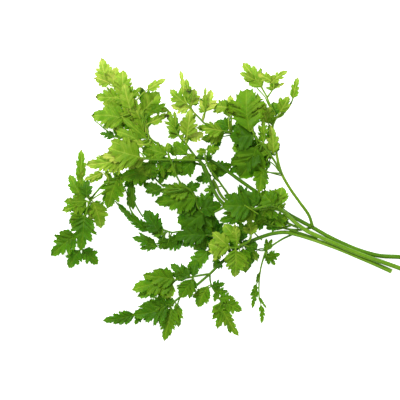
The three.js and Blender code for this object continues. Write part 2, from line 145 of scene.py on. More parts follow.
# What each blade's variation is worked out from, the same at every run
SEED_SHARES = (0.37, 0.73)
WAVE_SEED = 9
CURL_SEED = 5
SHIFT_DRAW = 0.3
REACH_DRAW = 1.9
CUT_DRAW = -0.7
BOW_DRAW = 5.1
TONE_DRAW = 1.7
SPREAD_WAVE = (12.9898, 78.233, 43758.5453)

# Steps of a blade's surface from the midrib to the margin, and a small share that keeps directions defined
STEPS_ACROSS = 5
TINY = 1e-6

# Outlines of the edges along a blade: how far along the edge each point lies, and how far it stands out as a
# share of the teeth's depth. A lobe's near edge has one or two teeth, its far edge has none, the first lobe's
# near edge has one tooth or more, and the last edge, which runs to the blade's tip, has two.
BASE_EDGE = (
    (0, 0), (0.15, 0), (0.3, 0), (0.42, 0.1), (0.5, 0.6), (0.54, 0), (0.62, 0.3), (0.7, 0.9), (0.74, 0.1),
    (0.82, 0.4), (0.89, 1), (0.93, 0.2),
)
ONE_TOOTH = ((0, 0), (0.1, 0), (0.2, 0), (0.4, 0.5), (0.56, 1), (0.66, 0.1), (0.83, 0))
TWO_TEETH = ((0, 0), (0.14, 0), (0.32, 1), (0.42, 0.1), (0.56, 0.5), (0.66, 1), (0.76, 0.1), (0.88, 0))
FAR_EDGE = ((0, 0), (0.35, 0), (0.7, 0))
LAST_EDGE = (
    (0, 0), (0.12, 0.1), (0.26, 1), (0.36, 0.2), (0.5, 0.4), (0.62, 0.8), (0.7, 0.15), (0.85, 0), (1, 0),
)

# How far each edge bulges, as a share of its length, how far a tooth leans forward, and how deep a tooth may
# be, as shares of the gap between two lobes and of the blade's half width
BASE_BULGE = 0.12
LAST_BULGE = 0.1
BULGE = 0.04
TOOTH_LEAN = 0.5
TOOTH_OF_GAP = 0.7
TOOTH_OF_HALF = 0.4

# Kinds of blade: how many lobes each half has, how deeply it is cut between them, where it is widest as a
# share of its length, how straight its base edge and its tip edge are, how deep its teeth are as a share of
# what they may be, and the teeth of its lobes' near edges and of its base edge
Kind = namedtuple("Kind", "lobes cut widest base taper depth teeth base_teeth")
BROAD = Kind(2, 0.36, 0.44, 1.0, 0.68, 0.34, TWO_TEETH, ONE_TOOTH)
CUT = Kind(2, 0.56, 0.45, 1.15, 0.7, 0.34, ONE_TOOTH, ONE_TOOTH)
SLIM = Kind(2, 0.34, 0.36, 1.0, 0.9, 0.3, ONE_TOOTH, ONE_TOOTH)
FULL = Kind(3, 0.38, 0.4, 0.9, 0.78, 0.34, TWO_TEETH, BASE_EDGE)
OVATE = Kind(4, 0.28, 0.34, 0.8, 0.85, 0.34, ONE_TOOTH, BASE_EDGE)
BROAD_FAN = Kind(4, 0.44, 0.6, 1.0, 0.48, 1.5, TWO_TEETH, BASE_EDGE)
FAN = Kind(3, 0.32, 0.58, 1.0, 0.5, 0.46, TWO_TEETH, BASE_EDGE)
LONG = Kind(5, 0.46, 0.3, 0.8, 0.75, 0.3, ONE_TOOTH, ONE_TOOTH)

# How light a leaflet is: partly its own green, and partly painted shade and light, darker for leaflets that
# lie shaded low in the bunch and lighter for those lit on top
DEEP, DUSK, DARK, DIM, MID = 0.0, 0.11, 0.22, 0.34, 0.42
FAIR, LIGHT, PALE, BRIGHT, YELLOW = 0.54, 0.66, 0.75, 0.86, 1.0

# Bruised and browned places on the leaves: x, y, radius on the sheet, and how many radii out each one ends
BRUISES = (
    (144, 89, 5), (167, 117, 4), (93, 114, 2), (96.5, 97, 1.8), (115.5, 128, 2), (136, 110, 2.2),
    (160, 100, 2), (189, 92, 4), (201, 129, 2), (291, 103, 1.5),
)
BRUISE_EDGE = 1.4

# Colours as they look on screen, from the darkest tone to the lightest, and how strongly some are mixed in
LEAF_GREENS = (
    (0.0, (47, 88, 1)), (0.22, (59, 103, 3)), (0.45, (80, 123, 8)), (0.66, (104, 141, 20)),
    (0.86, (140, 168, 48)), (1.0, (174, 190, 76)),
)
STALK_GREENS = ((0.0, (50, 92, 6)), (0.35, (84, 130, 16)), (0.6, (112, 156, 32)), (1.0, (160, 192, 74)))
BRUISE_COLOUR = (40, 46, 12)
RIB_COLOUR = (140, 182, 62)
RIB_SHARE = 0.35
PITH_COLOUR = (206, 222, 160)
PITH_SHARE = 0.7
WHITE = (1, 1, 1, 1)

# Veins: half widths of the side veins and the finer ones, as shares of the step between two of them, how many
# steps the finer ones make of one, and where the midrib and a cut end's pith fade, in millimetres
SIDE_VEIN = 0.07
FINE_VEIN = 0.12
FINE_VEINS = 3.0
MIDRIB_EDGE = (0.12, 0.42)
PITH_EDGE = (0.9, 1.3)

# The surface, the light around and the camera: metres, and millimetres for the lens
MIDDLE = (0, 0, 0.01)
FLOOR_HALF = 3.0
SKY_STRENGTH = 0.55
SENSOR_WIDTH = 36
LENS = 250

# Each stalk's way over the sheet, from its cut end: x, y, and the height in millimetres
STALKS = {
    "stalk_upper": (
        (412, 258.5, 0.95), (400, 257.3, 0.95), (380, 256, 0.95), (360, 250.5, 0.95), (340, 242, 1.1),
        (328, 236, 1.8), (313, 227.5, 3.2), (299, 220, 5), (287, 213, 6.8), (272, 201, 9),
        (257.6, 192.7, 10.5), (239.8, 180.4, 12.6), (225, 169.8, 14), (210, 160.5, 15.4), (197, 157.5, 16.5),
    ),
    "stalk_middle": (
        (412, 273, 1.2), (400, 268.3, 2.1), (388, 264, 3.3), (370, 257.8, 3.4), (350, 250, 3.4),
        (334, 243, 3.6), (320, 237, 4.5), (308, 231.5, 6), (297, 224, 8), (290, 217.5, 9.6), (284, 212, 11),
        (274, 208.5, 12), (258, 209, 12.5), (242, 210.5, 13), (230, 208, 13.8), (220, 200.5, 15.5),
        (213, 189, 17.6), (208, 175, 19), (203, 165, 19.6), (198, 160, 20),
    ),
    "stalk_lower": (
        (393, 272, 0.95), (378, 265.2, 0.95), (360, 257.5, 0.95), (342, 250, 0.95), (326, 244, 1.4),
        (310, 238.5, 2.4), (298, 235, 3.4), (286, 232.5, 4.8), (272, 234, 6.3), (258, 238.4, 7.6),
        (246, 243.6, 9.2), (235.2, 250, 10), (226, 258.6, 10), (215.8, 267.6, 8.8),
    ),
}

# Each frond's branches, in the order in which they are built
FRONDS = {}


def branch(name, way, leaflets):
    """Adds a branch to a frond. Its way is x, y, height. A leaflet is: the point of the branch that it grows
    from, the base of its blade, the blade's tip, its width on the sheet, its kind and how light it is."""
    FRONDS.setdefault(name, []).append((way, leaflets))


branch("frond_crown", (
    (196, 157.3, 16.8), (186, 154.5, 17.2), (175, 154, 17.5), (166, 150, 17.5), (158, 144.5, 17.5),
    (150, 138, 17.5), (147, 129, 17.5), (144, 120, 17.5), (137, 112, 16.3), (128, 104, 13.5), (120, 94, 9.8),
    (114, 86, 6.8),
), (
    (11, (108.5, 83, 6), (100.5, 57, 0.5), 20, OVATE, BRIGHT),
    (10.6, (110, 83, 6.4), (94.5, 77, 3), 12, BROAD, BRIGHT),
    (10.8, (113, 84, 7.5), (116.5, 66, 5), 13, BROAD, BRIGHT),
    (9.1, (125, 101, 14), (123, 70, 11), 15, FAN, PALE),
    (9.8, (118.5, 98, 9.5), (95, 96.5, 4), 17, FULL, PALE),
    (8.1, (125, 119, 14.5), (91, 116, 6.5), 23, FULL, LIGHT),
    (8, (113, 121, 12), (103.5, 127.5, 6), 7, BROAD, LIGHT),
    (7.9, (131, 110, 18.6), (124.5, 84, 17), 13, BROAD, PALE),
    (7.1, (143, 112, 16.6), (160, 92.5, 13.5), 22, BROAD, PALE),
    (8.6, (148, 90, 17), (166, 79, 14), 9, SLIM, BRIGHT),
    (6.6, (152, 111.5, 19), (166, 104, 16.5), 8, SLIM, MID),
    (6.3, (150.5, 123, 17.5), (168, 114, 13), 9, SLIM, BRIGHT),
    (7.7, (122, 119, 12), (114, 132, 8.5), 12, BROAD, YELLOW),
    (5.4, (114.5, 137, 10), (99, 133, 6), 8, CUT, DARK),
    (5, (140, 142, 19.5), (116, 131, 15), 14, BROAD, LIGHT),
    (6, (140, 131, 11.5), (128, 114, 8.5), 14, BROAD, LIGHT),
    (8.6, (131, 98, 15.5), (141.5, 87.5, 15.5), 8, SLIM, LIGHT),
    (8.8, (128, 98, 14.5), (133, 86, 14), 6, BROAD, LIGHT),
    (8.3, (134, 124, 13), (124, 101, 11.5), 15, BROAD, PALE),
    (8, (140, 119, 16.6), (131, 97, 16), 13, BROAD, PALE),
    (7.6, (133, 129, 11), (119, 108, 9.5), 14, BROAD, MID),
    (7.2, (143, 132, 16), (136, 110, 15.5), 9, CUT, LIGHT),
    (6.6, (146, 137, 15), (141, 112, 14), 10, CUT, YELLOW),
    (6.2, (147, 139, 18.8), (122, 117, 17), 7, SLIM, LIGHT),
    (7.4, (124, 105.5, 10.6), (102.5, 103, 7.5), 10, BROAD, LIGHT),
    (5.4, (141, 142, 14), (124, 135, 12.5), 13, BROAD, FAIR),
    (7, (139, 122, 9), (128, 109, 6), 14, BROAD, DARK),
    (7, (146, 103, 14), (141, 87.5, 13), 10, BROAD, MID),
    (7, (151, 103, 15), (148, 90, 14.5), 6, BROAD, FAIR),
    (7, (147, 109, 17), (169, 110.5, 14), 9, BROAD, LIGHT),
    (9.4, (126, 102, 12), (114, 96.5, 9), 10, BROAD, LIGHT),
    (5.2, (124, 138, 11), (113.5, 128, 9), 8, BROAD, MID),
    (4.6, (152, 146, 16), (143, 140, 14), 8, BROAD, BRIGHT),
    (4.8, (145, 145, 20.5), (126, 141, 20), 8, SLIM, BRIGHT),
    (6.5, (148, 128, 12), (141, 105, 10), 14, BROAD, BRIGHT),
))
branch("frond_top", (
    (196, 157.8, 18.6), (190, 150, 19), (186, 144.5, 19.5), (181, 139, 19.5), (177, 133, 19),
    (174, 127, 18.5),
), (
    (4, (177.5, 134, 18.5), (167.5, 110, 13), 13, CUT, LIGHT),
    (5, (175.5, 127, 19.5), (174.5, 111.5, 18), 6, SLIM, LIGHT),
    (3, (187, 137, 20.5), (190.5, 109.5, 19.5), 15, FULL, PALE),
    (2, (189, 137, 18.5), (204, 133.5, 15), 12, BROAD, YELLOW),
    (2.6, (186, 134, 18), (194, 141.5, 15.5), 14, CUT, LIGHT),
    (3.4, (186, 130, 19), (181, 121, 17), 11, BROAD, LIGHT),
    (3, (188, 128, 19), (195.5, 114.5, 17), 8, BROAD, LIGHT),
    (4, (179, 136, 17.5), (169, 129, 14), 13, BROAD, FAIR),
    (4.3, (176, 130, 17), (172.5, 138.5, 14.5), 10, BROAD, MID),
    (0, (197, 159, 16), (203.5, 153.5, 15), 6, BROAD, DARK),
    (3.3, (190, 124, 18.5), (183, 117.5, 17), 7, CUT, LIGHT),
))
branch("frond_top_middle", (
    (275, 155, 9.5), (264, 150, 8), (254, 145, 8), (243, 139, 9), (232, 132.5, 12), (222, 131, 13.5),
    (213, 128, 14.5), (205, 124, 15), (199, 118, 15.5), (192, 111, 15),
), (
    (9, (186, 104, 14.6), (170, 89, 9), 16, CUT, PALE),
    (9, (184.5, 97, 16.8), (180.5, 70.5, 9), 5, SLIM, BRIGHT),
    (8.7, (188, 99, 17.5), (186, 79, 13.5), 8, SLIM, LIGHT),
    (8.4, (191, 106, 14.5), (194.5, 89, 9), 12.5, BROAD, BRIGHT),
    (7.4, (205, 112, 16), (211, 89.5, 10), 15, CUT, YELLOW),
    (4.2, (228.6, 117, 15), (230.5, 95, 11), 14, CUT, BRIGHT),
    (4, (229, 113, 14), (224, 99, 12), 7, CUT, MID),
    (4.2, (227, 108, 17), (211, 106.5, 13), 12, BROAD, PALE),
    (4.2, (223, 110, 15.5), (212.5, 112, 12.5), 5, SLIM, LIGHT),
    (5.2, (222, 131, 15.2), (196.5, 128, 12), 13, FULL, PALE),
    (4.2, (230, 128.5, 12.5), (215, 122.5, 9.5), 14, BROAD, DIM),
    (3.9, (224, 133, 10.6), (201, 139.5, 6.5), 14, FULL, LIGHT),
    (3.7, (221, 137, 9), (203.5, 140.5, 6), 9, BROAD, DARK),
    (3.5, (219.5, 137, 7.5), (212, 155, 3.5), 7.5, CUT, DARK),
    (8.8, (188.5, 108.5, 13.6), (171, 105.5, 10), 13, CUT, YELLOW),
    (8.8, (187, 105, 13), (170, 98, 8.5), 10, CUT, LIGHT),
    (8.6, (192.5, 105, 13.4), (199.5, 98, 11), 6, SLIM, DARK),
    (7.4, (205, 108, 16.4), (205.5, 87.5, 14), 4, SLIM, LIGHT),
    (7.4, (203.5, 112, 15), (198.5, 108.5, 12), 6, CUT, LIGHT),
    (7.4, (207, 110, 15.5), (216, 103, 13), 4.5, SLIM, LIGHT),
    (7.4, (204, 104, 15), (200, 98.5, 12), 4, SLIM, DARK),
))
branch("frond_upper_right", (
    (313, 226.5, 4), (309, 215, 5), (300, 202.5, 6.6), (290, 188.5, 8.2), (282, 174.5, 9.8),
    (279, 166, 10.8), (277, 157, 11.6), (275.5, 148, 12), (274, 138, 12), (272.5, 127, 10.8),
    (275, 120, 9.8), (277, 117, 9.2),
), (
    (11, (280, 112, 10.2), (289, 96, 9), 12, BROAD, PALE),
    (10.8, (293, 98, 5.5), (298.6, 76.5, 0.5), 8, SLIM, PALE),
    (10.6, (276, 115, 6.5), (274, 101.5, 3.5), 15, BROAD, MID),
    (9.6, (263, 119, 10), (258, 102, 7.5), 10, BROAD, MID),
    (9, (267.5, 122, 12.5), (262, 101, 9), 15, BROAD, PALE),
    (7, (273, 153, 13.5), (270.5, 126, 14), 11, BROAD, PALE),
    (10.7, (284, 111, 8), (280, 97, 8), 8, BROAD, LIGHT),
    (8, (263.5, 142.5, 13), (258.5, 124.5, 11), 7, CUT, LIGHT),
    (7.6, (270, 141, 12.4), (269, 124, 12), 9, SLIM, LIGHT),
    (9.4, (271, 124, 10), (268, 107, 8), 10, BROAD, LIGHT),
    (7.2, (277.5, 151, 12), (279.6, 143.5, 12), 2.4, SLIM, DARK),
))
branch("frond_upper_right", (
    (276, 116, 9.4), (272, 108.5, 9), (268.6, 101.5, 8.5), (267, 97, 8), (264.4, 92, 7), (262.2, 88, 6),
), (
    (5, (262, 86.5, 5.6), (243, 61.5, 0.5), 17, FULL, PALE),
    (5, (255, 79.5, 5), (240, 72, 2), 8, BROAD, PALE),
))
branch("frond_upper_right", (
    (266.8, 98, 8), (270, 93.5, 7.8), (273, 89, 7.6),
), (
    (2, (271, 83, 7.4), (288, 70.5, 4.5), 9, CUT, BRIGHT),
    (2, (272, 81, 7.4), (257.5, 73.5, 5), 9, BROAD, BRIGHT),
    (2, (272.5, 86.5, 7), (285, 82.5, 5.5), 4.5, SLIM, BRIGHT),
    (2, (275, 87, 7), (272.5, 74.5, 6.5), 9, BROAD, LIGHT),
    (2, (273, 89, 7.4), (266, 87.5, 6.5), 4, SLIM, LIGHT),
))
branch("frond_upper_big", (
    (281, 173.5, 10.8), (276, 164, 13.5), (270, 155, 15.8), (262, 144.5, 17.5), (256, 138, 18.5),
    (252, 131, 19),
), (
    (5, (249, 131, 19), (246.5, 89, 15), 28, BROAD_FAN, FAIR),
    (5, (252, 120, 17.5), (257.5, 93.5, 15), 11, BROAD, LIGHT),
    (5, (254, 135, 16.5), (229.5, 137, 12.5), 24, BROAD, DUSK),
    (3, (256, 147, 15.5), (240, 178, 9), 30, FAN, MID),
    (2, (266, 150, 13), (255, 166, 6.5), 18, BROAD, DARK),
    (3, (264, 135, 18), (263, 119.5, 17), 8, CUT, LIGHT),
    (2, (261, 170, 10.5), (258.5, 193, 17.5), 14, BROAD, MID),
    (4.6, (250, 141, 15), (236.5, 119, 12), 16, BROAD, DARK),
    (4, (256, 146, 13), (232, 148, 9.5), 22, BROAD, MID),
    (3.4, (260, 151, 14), (230, 165, 9.5), 25, BROAD, DARK),
    (2.4, (268, 155, 14), (258, 142, 12.5), 14, BROAD, FAIR),
    (1.8, (269, 162, 12), (266, 171, 11), 5, SLIM, DARK),
    (1.6, (271, 158, 12.5), (262, 150, 9), 10, BROAD, DARK),
    (0, (265, 172.5, 11), (254, 172.5, 9), 13, BROAD, MID),
    (4.8, (249, 133, 14), (231, 126, 11), 13, BROAD, DARK),
    (4.2, (258, 145, 13), (255, 135, 12), 7, SLIM, MID),
    (3, (250, 163, 10), (229, 171.5, 8), 12, BROAD, DARK),
    (2, (264, 171, 11.5), (264.5, 191, 15), 7, SLIM, MID),
))
branch("frond_bright_left", (
    (199, 160.6, 20.3), (188, 160, 21), (178, 160.5, 21), (168, 160, 21), (160, 160, 21), (152, 160, 21.5),
    (145, 158.5, 22.5),
), (
    (3, (167, 154.5, 20.5), (141.5, 148, 16.5), 15, FULL, FAIR),
    (1, (187, 154, 21), (174, 142, 17), 14, BROAD, FAIR),
    (1, (192, 162, 19.5), (178, 174.5, 15.5), 17, BROAD, DIM),
    (6, (140, 157.5, 24), (108.5, 148, 18), 26, FULL, LIGHT),
    (6, (128.5, 160, 21), (86, 165, 10), 20, LONG, BRIGHT),
    (5, (144, 160, 20.6), (120, 168, 17.6), 13, FULL, BRIGHT),
    (6, (139, 152, 22.5), (111, 141, 17), 16, BROAD, LIGHT),
    (6, (125, 161, 18.5), (108.5, 172, 14), 14, CUT, BRIGHT),
    (6, (122, 158, 20.2), (102, 155.5, 18), 10, SLIM, YELLOW),
    (4.6, (154, 157, 20), (142.5, 151, 18), 10, BROAD, FAIR),
    (0.6, (194, 157, 21), (182, 158.5, 19), 6, SLIM, LIGHT),
    (2.2, (176, 156, 20.5), (167, 143, 18), 7, SLIM, MID),
    (0.5, (195, 159.5, 18.6), (185, 167, 15), 12, BROAD, DARK),
    (2.5, (177, 160, 19.8), (174.5, 178, 16), 11, BROAD, MID),
    (4, (160, 161, 18.5), (164, 178, 14), 10, CUT, FAIR),
    (5, (151, 163, 18.5), (150, 178, 13.5), 12, BROAD, MID),
    (5.3, (148, 163, 17.5), (136, 176, 14), 17, BROAD, FAIR),
    (4.4, (158, 160, 18.5), (148, 163, 17), 8, BROAD, DARK),
))
branch("frond_left", (
    (203, 165.5, 17.6), (189, 162.5, 14.5), (173, 164, 13), (158, 168, 12.3), (145, 172, 12), (132, 176, 12),
    (118, 179, 12), (104, 184.5, 11.5), (97, 191.5, 11), (91, 199.5, 10.5), (87.5, 208, 9.5),
    (85.5, 216, 8.8), (83, 232, 6.5), (80, 247, 4.5),
), (
    (9, (79.5, 180, 7.8), (80.5, 149, 2.5), 9.5, BROAD, LIGHT),
    (9, (80.5, 179, 7.4), (84, 167, 5), 4, SLIM, LIGHT),
    (9.3, (79, 194, 7.5), (69, 174.5, 3.5), 12, BROAD, FAIR),
    (8.6, (87, 196, 12.3), (88, 180, 11), 12, BROAD, DARK),
    (9.7, (86, 201, 9), (61.5, 211, 3), 18, CUT, LIGHT),
    (10, (81, 209, 7.5), (68.5, 224, 2), 12, CUT, MID),
    (9.1, (93, 202, 9.5), (100.5, 229, 3), 17, BROAD, PALE),
    (9.2, (93, 205, 8.6), (104.5, 219, 3.6), 8, BROAD, LIGHT),
    (11, (84.5, 216, 10.5), (80.5, 251, 8), 22.5, FULL, DIM),
    (12, (75.5, 235, 5), (50, 256, 0.5), 20.5, FULL, MID),
    (13, (79, 250.5, 4), (67.5, 268.5, 0.5), 15, BROAD, DIM),
    (13, (82, 250, 4.5), (97, 265, 0.8), 15, BROAD, MID),
    (6, (118, 178, 13.5), (107.5, 208.5, 6), 22, FULL, FAIR),
    (4, (149, 171, 14.5), (121, 178, 15), 20, BROAD, MID),
    (6.6, (103, 174.5, 13), (89, 182.5, 10), 7, SLIM, LIGHT),
    (5, (131, 184, 10), (133, 210, 4), 8, BROAD, DIM),
    (3.2, (154.5, 168, 15), (153.5, 178, 14), 10, BROAD, DARK),
    (2, (171, 165, 12), (162.5, 180, 12.5), 13, BROAD, MID),
    (6.6, (102.5, 173, 13.4), (84, 180, 9), 7, SLIM, BRIGHT),
    (8.8, (84, 193, 9.5), (81, 181, 8), 9, BROAD, MID),
    (9.2, (86, 197, 8.5), (74, 193, 5), 10, BROAD, MID),
    (9.4, (86, 201.5, 10), (63.5, 201.5, 5), 11, BROAD, FAIR),
    (10, (86, 208, 9), (90, 214, 6), 10, BROAD, DARK),
    (9.6, (92, 204, 8.6), (107, 211, 5), 12, CUT, FAIR),
    (10.6, (89, 215, 8), (92.5, 228, 3.5), 7, CUT, MID),
    (11, (82, 216, 8), (71, 228, 3.5), 13, BROAD, FAIR),
    (12, (73, 234, 5), (55.5, 241.5, 2), 15, BROAD, DIM),
    (5, (131.5, 187, 8.5), (129.5, 206.5, 4), 6, SLIM, DARK),
    (5, (130, 191, 8), (127.5, 206, 3.6), 5, SLIM, DARK),
    (5.6, (124, 176, 13), (110, 184, 9), 14, BROAD, LIGHT),
    (4.4, (146, 172, 13), (130, 184, 9), 16, BROAD, DARK),
    (3.4, (156, 170, 12.4), (145, 179, 8), 12, BROAD, DARK),
    (0.8, (188, 162, 14), (178, 171, 11), 14, BROAD, DARK),
    (5, (135, 176, 11), (125, 187, 8), 11, BROAD, DARK),
    (2.6, (163, 170, 13), (160, 184, 11), 9, BROAD, DARK),
    (6.6, (111, 181, 12), (105.5, 168.5, 10), 6, SLIM, FAIR),
    (6.4, (112, 185, 10.5), (102.5, 202, 6), 9, BROAD, MID),
    (9.2, (84, 186, 8), (76, 175.5, 6), 7, SLIM, FAIR),
))
branch("frond_centre", (
    (226, 206, 13), (214, 212, 11), (204, 213, 10.5), (198, 207, 10.5), (195.5, 198, 12), (190, 190, 14),
    (183.5, 186, 16), (178, 179, 18.5), (174, 168, 21.5), (170, 158, 23.5), (167.5, 150, 23.5),
), (
    (4, (197, 197.5, 12.5), (154.5, 202, 7), 24, FULL, MID),
    (3, (199, 207, 11.5), (213, 192, 9.5), 17, BROAD, DARK),
    (2, (201, 210, 8.5), (177, 223, 4), 25, BROAD, DARK),
    (1, (214, 214, 9), (203, 228, 6.6), 15, BROAD, DEEP),
    (10, (167.5, 152, 23.3), (168.5, 143, 22.5), 7, SLIM, LIGHT),
    (5, (161, 189, 12.5), (145, 192, 9.5), 11, CUT, DARK),
    (5, (190, 189, 13), (159.5, 191, 9.5), 15, FULL, FAIR),
    (4.6, (193, 194, 10), (164, 205, 6.5), 14, FULL, MID),
    (3.8, (196, 202, 9.5), (176.4, 213, 6), 16, BROAD, DARK),
    (3, (201, 209, 12), (222, 205, 10.5), 17, BROAD, DUSK),
    (2.4, (203, 214, 9.5), (181, 230, 5), 18, BROAD, DARK),
    (2, (205, 214, 8), (198, 234, 4), 22, BROAD, DARK),
    (1.6, (209, 214, 7.5), (211, 232, 4.5), 15, BROAD, DEEP),
    (3.4, (197, 205, 8), (190, 222, 5), 16, BROAD, DARK),
    (5.4, (157, 191, 12), (143, 183.5, 9.5), 10, BROAD, DARK),
    (5.2, (162, 190.5, 12), (149, 182.5, 9.5), 7, BROAD, DARK),
    (5.2, (176, 188, 12), (162, 184.5, 9.5), 6, SLIM, DARK),
    (5.4, (187, 189.5, 14), (200.5, 184, 12), 11, BROAD, DARK),
    (8, (174, 164, 20), (168, 172, 17), 10, BROAD, LIGHT),
    (8.6, (171, 163, 20.6), (158, 162, 18), 12, BROAD, DARK),
))
branch("frond_small_top", (
    (231, 207, 12.6), (230.6, 200.5, 12), (227.4, 193.5, 12.2), (222.2, 186, 14), (216, 177, 16.6),
    (209, 168, 19.5), (205.6, 160, 22), (204.6, 153, 22.5),
), (
    (7, (204.5, 151.5, 22.5), (196, 151.5, 20.5), 6, SLIM, LIGHT),
    (7, (206.5, 150, 22.5), (219.5, 148.5, 20), 9, CUT, LIGHT),
    (3, (216, 187.5, 12.3), (203.5, 190.5, 9.5), 9, CUT, MID),
    (4, (211, 175.5, 14), (195.5, 180, 9.5), 11, BROAD, DARK),
    (3.8, (214, 170.5, 11.5), (232, 165.3, 8.5), 13.5, BROAD, DIM),
    (7, (205.5, 152.5, 22), (200, 148.5, 21), 4, SLIM, LIGHT),
    (4.4, (212, 171, 12), (225, 174, 8), 13, BROAD, DARK),
    (5.6, (207, 166, 16), (219, 164.5, 13), 9, BROAD, LIGHT),
    (3.4, (213, 180, 13), (213, 193, 9), 7, BROAD, DARK),
    (6, (209, 161, 17), (207.5, 151.5, 15), 6, BROAD, DARK),
))
branch("frond_lower_middle", (
    (238, 246.5, 8.4), (228, 240, 7), (218, 237, 6.8), (208, 236, 6.8), (198, 235, 6.6), (188, 233, 6.4),
    (180, 231.5, 6.2), (172, 232.5, 6), (165, 230.5, 6), (160, 229, 6),
), (
    (3, (206, 235.5, 8.6), (173, 238, 5), 20, FULL, DUSK),
    (3, (206, 236, 6.5), (193.5, 250, 3), 13, BROAD, MID),
    (5, (183, 239, 3.8), (160, 248, 2), 14, FULL, DUSK),
    (8, (156, 247, 2.6), (131.5, 237.5, 1.2), 11, CUT, DARK),
    (9, (158.5, 232, 6.6), (144.5, 210, 2.5), 18, BROAD, DEEP),
    (8.6, (149, 231, 4), (117, 203, 1.5), 9, LONG, DARK),
    (1, (207.5, 251.5, 5.5), (187, 271, 2.5), 15, BROAD, MID),
    (2, (219, 236, 5.6), (213, 217, 2.5), 16, BROAD, DEEP),
    (4, (199, 237, 7), (182, 246, 3), 14, CUT, DARK),
    (3, (204, 234, 7.4), (184, 228, 5), 15, BROAD, DARK),
    (2.4, (211, 236, 7), (205, 222, 4.5), 18, BROAD, DEEP),
    (2.4, (213, 237.5, 5), (204, 241.5, 4), 7, BROAD, DEEP),
    (1, (213, 248, 6), (206.5, 256, 4.5), 7, CUT, DARK),
    (3.5, (203, 239, 5), (203, 252, 2), 14, BROAD, DEEP),
    (6, (178, 238, 5), (167, 243, 3), 9, BROAD, DARK),
    (7, (169, 239, 4.6), (164, 250, 2.2), 12, BROAD, DARK),
    (7.6, (163, 238, 4.6), (160, 250, 2.4), 8, BROAD, DARK),
    (8.5, (162, 235, 5.6), (151, 225, 3), 13, BROAD, MID),
    (7.4, (166, 242, 4), (156.5, 234.5, 3), 6, BROAD, DARK),
    (8, (157, 246, 3), (139, 249, 1.5), 8, CUT, DIM),
    (8, (155, 243.5, 3), (138, 232.5, 2), 4, SLIM, DARK),
))
branch("frond_right", (
    (284, 212, 12.6), (278, 207.5, 14.2), (270, 205.5, 15.2), (262, 207, 15.8), (254, 208.5, 16.3),
    (247, 206.5, 17),
), (
    (1, (279, 205, 15), (282, 187, 14), 15, FAN, LIGHT),
    (2, (273, 204, 16), (262, 191, 13.5), 20, BROAD, MID),
    (2, (272, 200, 14.5), (269.5, 189, 13.5), 5, SLIM, MID),
    (5, (250, 207, 17.5), (222, 206, 16), 29, FULL, DARK),
    (4, (258, 204, 14.5), (241, 192, 13.5), 19, BROAD, DARK),
    (1.4, (276, 206, 15.4), (275, 188.5, 13.6), 11, CUT, MID),
    (3, (266, 206, 14), (255, 196, 12), 14, BROAD, DARK),
    (4.2, (249, 198, 12.5), (239, 184.5, 12), 10, CUT, DEEP),
    (5, (250, 206, 14.8), (227, 214, 12), 20, BROAD, MID),
    (2.6, (268, 208, 13), (262, 216, 10.5), 15, BROAD, FAIR),
    (4, (258, 210, 13), (252, 219, 10.5), 13, BROAD, DARK),
    (1.5, (273.5, 209.5, 12.4), (269.5, 219, 10), 13, BROAD, MID),
    (0.6, (280, 208, 13), (286, 203, 12), 6, CUT, LIGHT),
    (4.6, (252, 207, 14), (237, 222, 11), 20, BROAD, LIGHT),
    (4.2, (256, 210, 13), (247, 222, 10.5), 15, BROAD, DARK),
    (4.8, (246, 203, 13), (224, 195, 11), 12, BROAD, DARK),
    (5, (242, 213, 12), (219.5, 221, 9), 12, BROAD, DARK),
    (5, (238, 213, 11), (222.5, 213.5, 10), 6, BROAD, DARK),
    (4.8, (245, 214, 11), (229, 224, 8), 10, BROAD, DARK),
))
branch("frond_under", (
    (311.5, 228, 2.6), (300, 230, 3.2), (290, 229.5, 4.4), (281, 227.5, 6), (272, 225, 7.4), (264, 222, 8.4),
), (
    (4, (274, 222, 8.6), (288, 217, 7), 15, BROAD, FAIR),
    (5, (266, 220, 9), (250, 212, 8), 17, BROAD, FAIR),
    (5, (264, 224, 7), (250, 225, 4.5), 11, BROAD, DIM),
    (4.4, (270, 221, 8), (260, 222.5, 6), 9, BROAD, DIM),
    (3.6, (276, 225, 7), (266, 216, 6), 14, BROAD, DIM),
    (3.2, (279, 226, 6.4), (266, 228.5, 4), 9, BROAD, DIM),
    (2.6, (285, 226, 5.6), (283, 216, 4.5), 10, BROAD, DIM),
))
